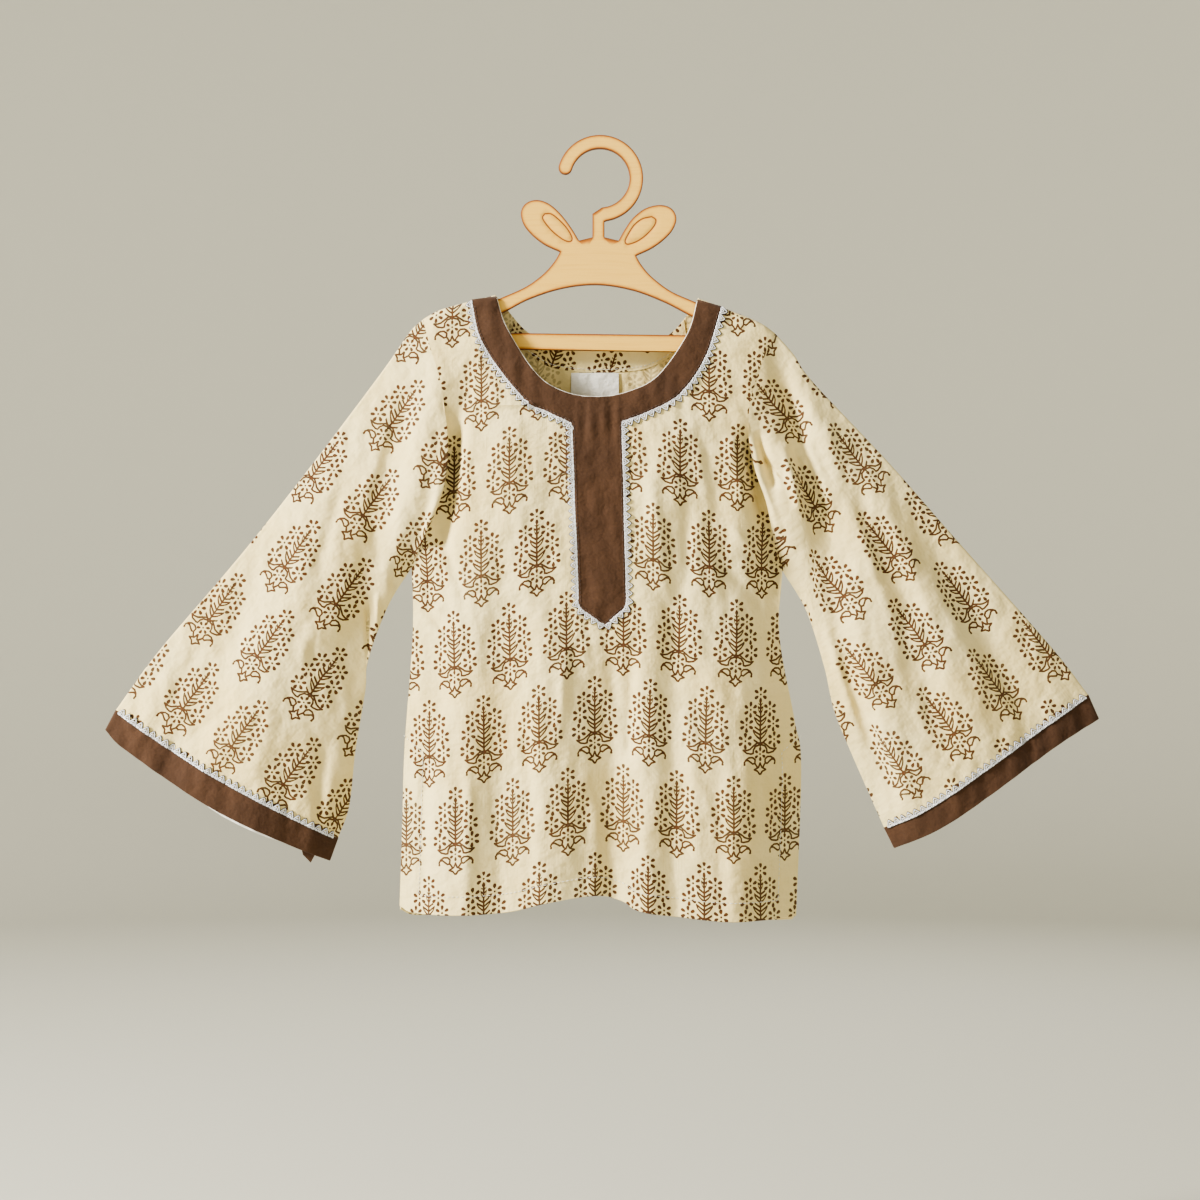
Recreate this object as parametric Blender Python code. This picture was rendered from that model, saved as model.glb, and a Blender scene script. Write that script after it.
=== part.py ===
"""A child's block-printed kurta hanging on a flat wooden hanger.

Sizes in the tables are millimetres; the meshes are metres, +Z up. The front faces -Y, and left
is -X, as somebody facing the kurta sees it. The origin is the inner top of the hook, where the
hanger hangs from a peg.

The garment is cut from flat pieces: front, back, two bell sleeves and two cuff bands, with a
neck band and placket, lace trims, a back neck facing and a label. Each is a wall of cloth. The
outlines are drawn in the X-Z plane, half_depth() says how far the cloth stands from the middle
plane there, and each wall is the outer surface with its points moved along their normals.
"""

import math
from typing import NamedTuple

import bpy
import numpy as np
from mathutils import Vector, geometry

MM = 0.001

# Cloth sizes, millimetres.
WALL = 1.2
CUFF_WALL = 1.6
TRIM_WALL = 1.0
SEAM_GAP = 0.3
HALF_GAP = SEAM_GAP / 2
SEAM_INSET = 0.18
SEAM_GRAIN = 0.05
SLOPE_STEP = 0.5
FULLNESS_FRONT = 20.0
FULLNESS_BACK = 16.0
CHEST_REACH = 160.0
SIDE_REACH = 70.0
FOLD_FADE = 26.0
SLIT_TOP = -429.0
SLIT_SPREAD = 2.2
SLIT_RUN = 60.0
BODY_REACH = 150.0
BACK_HEM_DROP = 3.0

# Lengths of the meshes' edges, millimetres.
OUTLINE_STEP = 11.0
SIDE_STEP = 16.5
NECK_STEP = 8.8
FILL_ACROSS = 12.0
FILL_DOWN = 20.0
FILL_MARGIN = 6.0
RINGS = 17
SIDE_POINTS = 13
FINE_COUNT = 60
LINE_STEP = 1.0
LINE_OVERRUN = 70.0
SOFT_FROM = 6.0
TURN_CLEAR = 12.8
FINE_STEP = 0.4
CURVE_PARTS = 12
HANGER_STEP = 6.0
EAR_STEP = 4.0
BAR_STEP = 14.0

# The hanger, millimetres.
BOARD = 5.0
BOARD_EDGE = 0.5
SEAT_DROP = 3.4
ARM_SEAT = (76.0, 107.0)
TURN_DROPS = (0.4, 1.2, 2.4, 4.2, 8.0)
HANGER_EASE = 3.3
HANGER_ROUND = 3.6
EASE_FULL = 118.0
EASE_GONE = 127.0
HOOK_INNER = 21.2
HOOK_OUTER = 31.0
HOOK_TIP_ANGLE = 163.0
HOOK_INNER_END = -86.0
HOOK_OUTER_END = -81.0
HOOK_STEPS = 22
HOOK_TIP_STEPS = 6
SHADE_ANGLE = 40.0
BEVEL_ANGLE = 60.0

FRONT = -1
BACK = 1

# Shoulder lines from the neck to the sleeve head: x, z.
SHOULDER = {
    "left": ((-75.2, -105.1), (-92.5, -109.4), (-115.2, -115.9), (-127.4, -122.6)),
    "right": ((70.6, -107.3), (87.8, -114.0), (113.8, -124.4), (126.0, -132.6)),
}
# Top folds of the sleeves, from the sleeve head to the cuff seam: x, z.
SLEEVE_TOP = {
    "left": ((-127.4, -122.6), (-137.5, -132.5), (-157.0, -160.5), (-206.0, -225.5),
             (-258.0, -291.5), (-318.0, -362.0), (-348.5, -403.9)),
    "right": ((126.0, -132.6), (139.5, -148.0), (153.5, -168.0), (208.8, -226.8),
              (255.0, -279.5), (324.0, -357.5), (351.4, -392.8)),
}
# Under seams of the sleeves, from the underarm to the cuff seam: x, z.
SLEEVE_UNDER = {
    "left": ((-135.5, -301.0), (-152.6, -329.0), (-167.0, -368.0), (-169.0, -390.0),
             (-176.0, -433.0), (-180.5, -473.0), (-188.6, -496.1)),
    "right": ((131.0, -303.0), (148.3, -332.0), (161.3, -372.0), (168.5, -404.0),
              (180.0, -432.7), (204.5, -488.5)),
}
# Cuff seams and cuff edges, from the top fold to the under seam: x, z.
CUFF_SEAM = {
    "left": ((-348.5, -403.9), (-295.2, -438.5), (-240.5, -468.7), (-188.6, -496.1)),
    "right": ((351.4, -392.8), (295.2, -431.3), (237.6, -471.0), (204.5, -488.5)),
}
CUFF_EDGE = {
    "left": ((-356.0, -418.0), (-341.0, -432.0), (-281.0, -471.0), (-229.0, -496.5), (-194.4, -512.0)),
    "right": ((359.0, -410.0), (324.0, -431.5), (266.4, -472.5), (237.6, -491.0), (211.7, -503.0)),
}
# Armhole seams, from the sleeve head to the underarm: x, z.
ARMHOLE = {
    "left": ((-127.4, -122.6), (-121.0, -146.0), (-114.0, -169.0), (-110.2, -203.0),
             (-112.5, -238.0), (-118.0, -260.0), (-126.0, -280.5), (-135.5, -301.0)),
    "right": ((126.0, -132.6), (116.0, -155.0), (108.0, -180.0), (106.5, -205.0),
              (112.5, -231.0), (120.5, -256.0), (124.5, -280.0), (131.0, -303.0)),
}
# Side edges of the body, from the underarm to the hem: x, z.
SIDE = {
    "left": ((-135.5, -301.0), (-134.6, -346.0), (-140.5, -430.0), (-142.0, -480.0), (-144.0, -544.5)),
    "right": ((131.0, -303.0), (129.0, -350.0), (140.0, -411.0), (144.7, -445.0), (141.0, -551.5)),
}
# Front hem, left to right: x, z. It rises where the cloth folds back in the middle.
HEM = ((-144.0, -544.5), (-130.0, -549.0), (-72.0, -547.8), (-38.0, -540.0), (-4.0, -535.3),
       (16.0, -539.5), (30.0, -546.5), (79.0, -552.6), (112.0, -553.3), (141.0, -551.5))
# Neck edges of the front and the back, left to right: x, z.
FRONT_NECK = ((-75.2, -105.1), (-66.5, -130.5), (-45.0, -163.5), (-24.5, -176.3), (-2.5, -179.6),
              (19.0, -176.3), (41.0, -164.8), (62.5, -134.5), (70.6, -107.3))
BACK_NECK = ((-75.2, -105.1), (-64.4, -118.5), (-52.0, -131.5), (-35.0, -139.2), (-2.5, -142.0),
             (32.0, -140.6), (50.0, -133.0), (62.0, -120.5), (70.6, -107.3))
# Outer edge of the neck band, from each shoulder down to the placket: x, z.
BAND_EDGE = {
    "left": ((-92.5, -109.4), (-84.0, -141.5), (-55.0, -180.5), (-38.0, -190.4), (-20.2, -198.7)),
    "right": ((87.8, -114.0), (75.5, -151.5), (57.0, -177.8), (36.5, -189.6), (15.8, -198.0)),
}
PLACKET_END = {"left": (-15.3, -329.8), "right": (19.2, -329.0)}
PLACKET_POINT = (3.5, -343.1)
TRIM_WIDTH = 5.4
TRIM_POINT = 6.75
TRIM_SHOULDER = 2.43
# Lower edge of the back neck facing, left to right: x, z.
FACING_TOP_REACH = 16.0
FACING_EDGE = ((-66.0, -136.0), (-49.5, -148.0), (-34.0, -156.5), (-4.0, -160.0),
               (30.0, -157.8), (49.0, -149.5), (63.0, -138.0))
LABEL_LEFT = -20.9
LABEL_RIGHT = 13.4
LABEL_TOP = -160.4
LABEL_BOTTOM = -197.0


class Fold(NamedTuple):
    """A long ridge of the cloth, or a trough where its height is negative."""

    x0: float
    z0: float
    x1: float
    z1: float
    width: float
    height: float


FRONT_FOLDS = (
    Fold(-68, -270, -73, -640, 15, -5.0),
    Fold(-38, -320, -37, -660, 17, 4.0),
    Fold(10, -350, 6, -700, 17, -8.0),
    Fold(35, -300, 34, -640, 13, 3.5),
    Fold(53, -250, 52, -640, 12, -3.0),
    Fold(94, -330, 98, -680, 23, 5.0),
    Fold(103, -195, 138, -372, 13, -6.5),
    Fold(47, -195, 44, -310, 16, 3.0),
    Fold(76, -195, 92, -330, 13, -3.5),
    Fold(-112, -300, -92, -150, 12, -4.5),
    Fold(-62, -190, -56, -330, 18, 3.0),
    Fold(-120, -298, -116, -420, 11, -3.5),
    Fold(-105, -380, -108, -660, 20, 3.5),
    Fold(-112, -150, -158, -330, 11, 3.5),
    Fold(-140, -165, -182, -410, 13, -4.5),
    Fold(-164, -318, -173, -420, 7, -3.0),
    Fold(-190, -215, -272, -470, 24, 3.5),
    Fold(-228, -280, -315, -460, 17, -3.0),
    Fold(-150, -330, -206, -530, 14, 3.0),
    Fold(123, -135, 176, -310, 10, -6.0),
    Fold(141, -148, 222, -372, 11, 5.0),
    Fold(163, -205, 252, -440, 11, -5.5),
    Fold(188, -222, 284, -450, 12, 4.0),
    Fold(226, -262, 330, -440, 12, -3.5),
    Fold(150, -248, 205, -480, 9, -4.5),
    Fold(172, -318, 232, -500, 12, 3.5),
)
BACK_FOLDS = (
    Fold(-84, -260, -90, -660, 18, 4.0),
    Fold(-40, -230, -46, -660, 17, -5.0),
    Fold(4, -260, 8, -660, 19, 4.5),
    Fold(52, -240, 58, -660, 17, -5.5),
    Fold(98, -290, 104, -660, 19, 4.0),
    Fold(-104, -170, -120, -300, 12, -3.5),
    Fold(102, -170, 118, -310, 12, -3.5),
    Fold(-138, -165, -186, -420, 14, -4.5),
    Fold(-190, -220, -276, -470, 20, 4.0),
    Fold(-244, -290, -318, -450, 15, -3.5),
    Fold(136, -160, 196, -420, 13, -5.0),
    Fold(178, -210, 262, -450, 15, 4.5),
    Fold(232, -270, 322, -440, 14, -4.0),
)

# Ears of the hanger, from the head round the tip to the arm: x, z.
EAR = {
    "left": ((-15.1, -66.2), (-21.0, -56.5), (-29.0, -46.3), (-37.5, -39.3), (-46.0, -37.0),
             (-53.5, -39.6), (-57.0, -46.0), (-55.0, -54.5), (-49.0, -62.0), (-40.0, -69.0),
             (-28.8, -74.2)),
    "right": ((13.3, -66.2), (18.0, -57.8), (24.0, -49.6), (33.0, -42.9), (43.5, -40.6),
              (51.5, -43.2), (55.0, -50.0), (52.5, -58.0), (46.0, -65.3), (37.0, -71.8),
              (25.9, -77.0)),
}
ARM_NEAR = {
    "left": ((-28.8, -74.2), (-33.0, -81.5), (-41.0, -90.5), (-54.0, -99.8), (-72.0, -107.8)),
    "right": ((25.9, -77.0), (30.0, -84.0), (37.5, -92.5), (51.0, -102.6), (68.0, -110.2)),
}
ARM_END = {
    "left": ((-112.0, -119.2), (-116.5, -122.8), (-118.5, -129.0), (-117.5, -136.5),
             (-112.5, -141.8), (-104.0, -143.7)),
    "right": ((109.5, -127.2), (114.0, -131.2), (116.0, -136.5), (115.0, -142.6),
              (110.5, -146.2), (102.0, -147.0)),
}
# Gap between the arms and the bar: x, z.
ARM_UNDER = ((-99.0, -131.2), (-70.8, -118.5), (-51.0, -108.3), (-27.0, -100.6), (-2.0, -98.0),
             (23.0, -101.8), (46.0, -110.3), (67.3, -121.3), (93.0, -133.3))
BAR_TOP = ((90.0, -134.6), (-96.0, -132.3))
NECK_LEFT = -5.5
NECK_RIGHT = 3.2
NECK_TOP = -52.5
NECK_CORNER = (-5.5, -47.0)
HEAD_TOP = -63.8

# Surface finishes: base colour, roughness.
FINISHES = {
    "printed cotton": ((0.78, 0.71, 0.56), 0.85),
    "brown cotton": ((0.16, 0.085, 0.05), 0.85),
    "lace": ((0.80, 0.81, 0.85), 0.6),
    "label tape": ((0.88, 0.88, 0.86), 0.6),
    "plywood": ((0.80, 0.58, 0.33), 0.55),
}


def clear_scene():
    """Remove the objects that are already there."""
    for thing in list(bpy.data.objects):
        bpy.data.objects.remove(thing, do_unlink=True)


def finish(name):
    """Return the material of a named finish."""
    found = bpy.data.materials.get(name)
    if found:
        return found
    colour, roughness = FINISHES[name]
    made = bpy.data.materials.new(name)
    made.use_nodes = True
    shader = made.node_tree.nodes["Principled BSDF"]
    shader.inputs["Base Color"].default_value = (*colour, 1.0)
    shader.inputs["Roughness"].default_value = roughness
    shader.inputs["Metallic"].default_value = 0.0
    return made


def resample(points, step=None, count=None):
    """Points evenly spaced along a polyline, by their step or their count."""
    points = np.asarray(points, dtype=float)
    lengths = np.r_[0.0, np.cumsum(np.linalg.norm(np.diff(points, axis=0), axis=1))]
    if count is None:
        count = max(2, int(round(lengths[-1] / step)) + 1)
    places = np.linspace(0.0, lengths[-1], count)
    return np.column_stack([np.interp(places, lengths, points[:, axis]) for axis in (0, 1)])


def curve(points, step=None, count=None):
    """A smooth curve through the points of a table, evenly sampled."""
    points = np.asarray(points, dtype=float)
    padded = np.vstack([2 * points[0] - points[1], points, 2 * points[-1] - points[-2]])
    fine = []
    for before, start, end, after in zip(padded, padded[1:], padded[2:], padded[3:]):
        t = np.arange(CURVE_PARTS)[:, None] / CURVE_PARTS
        fine.append(0.5 * (2 * start + (end - before) * t
                           + (2 * before - 5 * start + 4 * end - after) * t ** 2
                           + (3 * start - before - 3 * end + after) * t ** 3))
    fine.append(points[-1:])
    return resample(np.vstack(fine), step, count)


def overrun(line):
    """A line with its two ends carried on straight, past the edge of the cloth."""
    ends = []
    for end, before in ((line[0], line[3]), (line[-1], line[-4])):
        reach = end + LINE_OVERRUN * (end - before) / np.linalg.norm(end - before)
        ends.append(resample([end, reach], LINE_STEP))
    return joined(ends[0][::-1], line, ends[1])


def joined(*lines):
    """Several lines that follow each other, as one."""
    return np.vstack([lines[0]] + [line[1:] for line in lines[1:]])


def top_line():
    """The upper outline, from cuff to cuff over both sleeves and shoulders."""
    halves = {}
    for side in ("left", "right"):
        cuff = resample([CUFF_SEAM[side][0], CUFF_EDGE[side][0]], LINE_STEP)
        halves[side] = joined(curve(SHOULDER[side], LINE_STEP), curve(SLEEVE_TOP[side], LINE_STEP), cuff)
    neck = resample([SHOULDER["left"][0], SHOULDER["right"][0]], LINE_STEP)
    return overrun(joined(halves["left"][::-1], neck, halves["right"]))


def lower_line(side):
    """The lower outline of one side, from the cuff over the underarm to the hem."""
    cuff = resample([CUFF_EDGE[side][-1], CUFF_SEAM[side][-1]], LINE_STEP)
    under = curve(SLEEVE_UNDER[side], LINE_STEP)
    return overrun(joined(cuff, under[::-1], curve(SIDE[side], LINE_STEP)))


TOP_LINE = top_line()
LOWER_LINES = (lower_line("left"), lower_line("right"))


def line_distance(points, line):
    """Distance to a line: exact beside it, and rounded softly where it bends further off."""
    runs = np.diff(line, axis=0)
    gaps = points[:, None, :] - line[None, :-1, :]
    along = np.clip((gaps * runs).sum(axis=2) / (runs ** 2).sum(axis=1), 0.0, 1.0)
    nearest = np.sqrt(((gaps - along[:, :, None] * runs) ** 2).sum(axis=2).min(axis=1))
    nearness = (LINE_STEP / ((gaps ** 2).sum(axis=2) + 1e-6) ** 2).sum(axis=1)
    soft = (2.0 / math.pi * nearness) ** (-1.0 / 3.0)
    share = np.clip((nearest - SOFT_FROM) / SOFT_FROM, 0.0, 1.0)
    return nearest + share * (soft - nearest)


def crown(distance, reach):
    """Rise from 0 at an edge to 1 at the reach."""
    t = np.clip(distance / reach, 0.0, 1.0)
    return t * (2.0 - t)


def round_edge(distance, radius):
    """Rise from 0 to 1 as a quarter circle."""
    t = np.clip(distance / radius, 0.0, 1.0)
    return np.sqrt(t * (2.0 - t))


def fold_height(points, folds):
    """Sum of the folds' heights at the points."""
    total = np.zeros(len(points))
    for fold in folds:
        start = np.array([fold.x0, fold.z0])
        run = np.array([fold.x1, fold.z1]) - start
        along = np.clip((points - start) @ run / (run @ run), 0.0, 1.0)
        aside = np.linalg.norm(points - start - along[:, None] * run, axis=1)
        taper = 1.0 - (2.0 * along - 1.0) ** 4
        total += fold.height * taper * np.exp(-(aside / fold.width) ** 2)
    return total


def half_depth(points, face):
    """How far the outer surface of the cloth stands from the middle plane."""
    points = np.asarray(points, dtype=float)
    top = line_distance(points, TOP_LINE)
    sides = [line_distance(points, line) for line in LOWER_LINES]
    lens = FULLNESS_FRONT if face == FRONT else FULLNESS_BACK
    lens = lens * crown(top, CHEST_REACH) * crown(sides[0], SIDE_REACH) * crown(sides[1], SIDE_REACH)
    over_hanger = np.clip((EASE_GONE - np.abs(points[:, 0])) / (EASE_GONE - EASE_FULL), 0.0, 1.0)
    past_seam = np.maximum(top - SEAM_GRAIN, 0.0)
    ease = HANGER_EASE * over_hanger * round_edge(past_seam, HANGER_ROUND)
    edge = HALF_GAP + WALL * round_edge(past_seam, WALL)
    folds = fold_height(points, FRONT_FOLDS if face == FRONT else BACK_FOLDS)
    fade = crown(np.minimum(top, np.minimum(*sides)), FOLD_FADE)
    slit = SLIT_SPREAD * np.clip((SLIT_TOP - points[:, 1]) / SLIT_RUN, 0.0, 1.0)
    slit *= np.abs(points[:, 0]) < BODY_REACH
    return edge + np.hypot(ease, lens) + folds * fade + slit


def placed(points, face):
    """Outline points with their depth, as x, y, z."""
    points = np.asarray(points, dtype=float)
    return np.column_stack([points[:, 0], face * half_depth(points, face), points[:, 1]])


def inside(points, outline):
    """Which points lie inside a closed outline."""
    x, z = np.asarray(points, dtype=float).T
    found = np.zeros(len(x), dtype=bool)
    for (x0, z0), (x1, z1) in zip(outline, np.roll(outline, -1, axis=0)):
        crosses = (z0 > z) != (z1 > z)
        if z1 != z0:
            found ^= crosses & (x < (x1 - x0) * (z - z0) / (z1 - z0) + x0)
    return found


def edge_distance(points, outline, closed=True):
    """Distance from points to the nearest edge of an outline."""
    nearest = np.full(len(points), np.inf)
    ends = np.roll(outline, -1, axis=0)
    for start, end in list(zip(outline, ends))[:None if closed else -1]:
        run = end - start
        along = np.clip((points - start) @ run / max(run @ run, 1e-12), 0.0, 1.0)
        nearest = np.minimum(nearest, np.linalg.norm(points - start - along[:, None] * run, axis=1))
    return nearest


class Surface(NamedTuple):
    """A piece's outer surface: its points, its triangles, and each point's outward normal."""

    points: np.ndarray
    triangles: np.ndarray
    normals: np.ndarray


def mesh_normals(points, triangles):
    """Each point's normal, weighted by the areas of its triangles."""
    corners = points[triangles]
    across = np.cross(corners[:, 1] - corners[:, 0], corners[:, 2] - corners[:, 0])
    normals = np.zeros_like(points)
    for corner in range(3):
        np.add.at(normals, triangles[:, corner], across)
    return normals / np.maximum(np.linalg.norm(normals, axis=1, keepdims=True), 1e-12)


def cloth_normals(points):
    """Each point's normal from the slope of the depth, the same for pieces that meet there."""
    flat = points[:, [0, 2]].copy()
    at_top = line_distance(flat, TOP_LINE) < SLOPE_STEP
    flat[at_top] -= (0.0, SLOPE_STEP)
    normals = np.zeros_like(points)
    for face in (FRONT, BACK):
        chosen = points[:, 1] * face > 0.0
        for axis, part_axis in ((0, 0), (1, 2)):
            step = np.zeros(2)
            step[axis] = SLOPE_STEP / 2
            rise = half_depth(flat[chosen] + step, face) - half_depth(flat[chosen] - step, face)
            normals[chosen, part_axis] = -rise / SLOPE_STEP
        normals[chosen, 1] = face
    return normals / np.maximum(np.linalg.norm(normals, axis=1, keepdims=True), 1e-12)


def rim_edges(triangles):
    """The directed edges that only one triangle uses."""
    edges = {(a, b) for triangle in triangles for a, b in zip(triangle, np.roll(triangle, -1))}
    return sorted(edge for edge in edges if (edge[1], edge[0]) not in edges)


def drawn_in(piece, distance=SEAM_INSET):
    """The piece with its rim drawn in along the surface, to leave a gap at its seams."""
    points = piece.points.copy()
    rim = set(rim_edges(piece.triangles))
    pull = np.zeros_like(points)
    for triangle in piece.triangles:
        for a, b, c in zip(triangle, np.roll(triangle, -1), np.roll(triangle, -2)):
            if (a, b) in rim:
                run = piece.points[b] - piece.points[a]
                into = piece.points[c] - piece.points[a]
                into = into - run * (into @ run) / (run @ run)
                pull[[a, b]] += into / np.linalg.norm(into)
    moved = sorted({corner for edge in rim for corner in edge})
    lengths = np.maximum(np.linalg.norm(pull[moved], axis=1, keepdims=True), 1.0)
    points[moved] += 2.0 * distance * pull[moved] / lengths ** 2
    return Surface(points, piece.triangles, piece.normals)


def panel(outline, face, guides=(), closed=False, extra=()):
    """A piece of the body: its outline filled with a grid of points, closer across the folds.

    The guides are lines of what lies on the piece, open or closed, which its triangles follow.
    """
    low, high = outline.min(axis=0), outline.max(axis=0)
    columns = np.arange(low[0] + FILL_ACROSS / 2, high[0], FILL_ACROSS)
    rows = np.arange(low[1] + FILL_DOWN / 2, high[1], FILL_DOWN)
    fill = np.array([(x, z) for z in rows for x in columns])
    for loop in (outline, *guides):
        fill = fill[edge_distance(fill, loop, closed or loop is outline) > FILL_MARGIN]
    if len(extra):
        gap = np.linalg.norm(fill[:, None] - extra[None], axis=2).min(axis=1)
        fill = np.vstack([fill[gap > FILL_MARGIN], extra])
    fill = fill[inside(fill, outline)]
    loops, start = [], 0
    for loop in (outline, *guides):
        loops.append(list(range(start, start + len(loop))))
        start += len(loop)
    edges = [(a, b) for loop in loops[1:] for a, b in zip(loop, loop[1:])]
    edges += [(loop[-1], loop[0]) for loop in loops[1:] if closed]
    flat = [Vector(point) for point in np.vstack([outline, *guides, fill])]
    found, _, triangles, _, _, _ = geometry.delaunay_2d_cdt(flat, edges, [loops[0]], 1, 1e-4)
    found = np.array([tuple(point) for point in found])
    triangles = np.array([tuple(triangle) for triangle in triangles])
    used, triangles = np.unique(triangles, return_inverse=True)
    found, triangles = found[used], triangles.reshape(-1, 3)
    points = placed(found, face)
    corners = points[triangles]
    across = np.cross(corners[:, 1] - corners[:, 0], corners[:, 2] - corners[:, 0])
    turned = across[:, 1] * face < 0.0
    triangles[turned] = triangles[turned][:, ::-1]
    return Surface(points, triangles, cloth_normals(points))


def patch(piece, outline):
    """The part of a surface that lies inside an outline."""
    middles = piece.points[piece.triangles].mean(axis=1)[:, [0, 2]]
    kept = piece.triangles[inside(middles, outline)]
    used, triangles = np.unique(kept, return_inverse=True)
    return Surface(piece.points[used], triangles.reshape(-1, 3), piece.normals[used])


def ring_steps(line):
    """Places across a sleeve where its rings have points, closer at the two folds."""
    near = WALL / np.linalg.norm(line[-1] - line[0])
    even = (1.0 - np.cos(np.linspace(0.0, math.pi, SIDE_POINTS))) / 2.0
    return np.r_[near, even[1:-1], 1.0 - near]


def along(line, steps):
    """Points at given shares of a line's length."""
    places = np.linspace(0.0, 1.0, len(line))
    return np.column_stack([np.interp(steps, places, line[:, axis]) for axis in (0, 1)])


def tube(tops, unders, start, end):
    """A sleeve or cuff: rings round the top fold, the front, the under seam and the back.

    The start and end curves bow the rings, less and less away from them.
    """
    rings, folded = [], []
    for number, (top, under) in enumerate(zip(tops, unders)):
        t = number / (len(tops) - 1)
        steps = ring_steps((1 - t) * start + t * end)[:, None]
        bows = [along(line, steps[:, 0]) - line[0] - steps * (line[-1] - line[0]) for line in (start, end)]
        across = top + steps * (under - top) + (1 - t) * bows[0] + t * bows[1]
        over, below = ([[x, 0.0, z]] for x, z in (top, under))
        rings.append(np.vstack([over, placed(across, FRONT), below, placed(across, BACK)[::-1]]))
        folded += [top - across[0], under - across[-1]]
    size = len(rings[0])
    triangles = []
    for row in range(len(rings) - 1):
        for place in range(size):
            a, b = row * size + place, row * size + (place + 1) % size
            triangles += [(a, a + size, b), (b, a + size, b + size)]
    points, triangles = np.vstack(rings), np.array(triangles)
    normals = mesh_normals(points, triangles)
    if points[size // 4, 1] * normals[size // 4, 1] < 0.0:
        triangles, normals = triangles[:, ::-1], -normals
    at_fold = points[:, 1] == 0.0
    normals[~at_fold] = cloth_normals(points[~at_fold])
    folded = np.array(folded) / np.linalg.norm(folded, axis=1, keepdims=True)
    normals[at_fold] = np.column_stack([folded[:, 0], np.zeros(len(folded)), folded[:, 1]])
    return Surface(points, triangles, normals)


def rows_of(piece, first, last, size):
    """The stretch of a tube between two of its rings."""
    low, high = first * size, (last + 1) * size
    keep = np.all((piece.triangles >= low) & (piece.triangles < high), axis=1)
    return Surface(piece.points[low:high], piece.triangles[keep] - low, piece.normals[low:high])


def wall(name, piece, outer, inner, look, face=0):
    """Build a wall of cloth between two offsets from a surface, positive outwards."""
    layers = [piece.points + offset * piece.normals for offset in (outer, inner)]
    if face:
        for layer in layers:
            layer[:, 1] = face * np.maximum(face * layer[:, 1], HALF_GAP)
    count = len(piece.points)
    faces = [tuple(map(int, triangle)) for triangle in piece.triangles]
    faces += [tuple(int(corner) + count for corner in triangle[::-1]) for triangle in piece.triangles]
    faces += [(int(b), int(a), int(a) + count, int(b) + count) for a, b in rim_edges(piece.triangles)]
    return solid(name, np.vstack(layers) * MM, faces, look)


def solid(name, points, faces, look):
    """Make an object of a closed mesh."""
    mesh = bpy.data.meshes.new(name)
    mesh.from_pydata([tuple(point) for point in points], [], faces)
    mesh.validate()
    mesh.shade_smooth()
    mesh.set_sharp_from_angle(angle=math.radians(SHADE_ANGLE))
    mesh.materials.append(finish(look))
    made = bpy.data.objects.new(name, mesh)
    bpy.context.scene.collection.objects.link(made)
    return made


def armhole_edge(side):
    """Armhole points, the same ones as the first ring of the sleeve."""
    line = curve(ARMHOLE[side], count=FINE_COUNT)
    return np.vstack([line[:1], along(line, ring_steps(line)), line[-1:]])


def shoulder_height(side, x):
    """Height of a shoulder line at a place along it."""
    line = curve(SHOULDER[side], 0.5)
    order = np.argsort(line[:, 0])
    return np.interp(x, line[order, 0], line[order, 1])


def shoulder_edge(side):
    """Points of a shoulder line: the neck, the edges of the band and its lace, and the rest."""
    neck, band = SHOULDER[side][0][0], BAND_EDGE[side][0][0]
    lace = lace_edge(side)[0, 0]
    rest = np.linspace(lace, SHOULDER[side][-1][0], 4)[1:]
    places = np.r_[neck, (neck + band) / 2, band, lace, rest]
    return np.column_stack([places, shoulder_height(side, places)])


def turned(fine, step, first=True, last=False):
    """A line sampled from a fine one, with close points where it turns over a shoulder."""
    middle = resample(fine, step)
    head, tail = [], []
    for at_end, found in ((first, head), (last, tail)):
        if at_end:
            run = fine if found is head else fine[::-1]
            drops = run[0, 1] - run[:len(run) // 2, 1]
            found.extend([run[0]] + [run[np.searchsorted(drops, drop)] for drop in TURN_DROPS])
            middle = middle[np.linalg.norm(middle - run[0], axis=1) > TURN_CLEAR]
    return np.array(head + list(middle) + tail[::-1])


def band_edge(side):
    """The band's outer edge from the shoulder to the placket's end, finely sampled."""
    placket = resample([BAND_EDGE[side][-1], PLACKET_END[side]], FINE_STEP)
    return joined(curve(BAND_EDGE[side], FINE_STEP), placket)


def set_out(line, distance):
    """A line set out sideways, to the left of its direction."""
    run = np.gradient(line, axis=0)
    run /= np.linalg.norm(run, axis=1, keepdims=True)
    return line + distance * np.column_stack([-run[:, 1], run[:, 0]])


def lace_edge(side):
    """Outer edge of the lace beside the band, from the shoulder to the placket's end."""
    sign = -1.0 if side == "left" else 1.0
    curved = curve(BAND_EDGE[side], FINE_STEP)
    first = curved[0] + (curved[0] - curved[1]) * TRIM_WIDTH / FINE_STEP
    line = set_out(joined(resample([first, curved[0]], FINE_STEP), curved), sign * TRIM_WIDTH)
    line = line[line[:, 1] < shoulder_height(side, line[:, 0]) - SEAM_GRAIN]
    line = line[sign * line[:, 0] > sign * BAND_EDGE[side][-1][0] + TRIM_WIDTH]
    top = np.array([[line[0, 0], shoulder_height(side, line[0, 0])]])
    corner = np.array([[BAND_EDGE[side][-1][0] + sign * TRIM_WIDTH, line[-1, 1] - SEAM_GAP]])
    end = np.array([PLACKET_END[side]]) + (sign * TRIM_WIDTH, -TRIM_SHOULDER)
    return joined(np.vstack([top, line]), resample(np.vstack([line[-1:], corner, end]), FINE_STEP))


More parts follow.
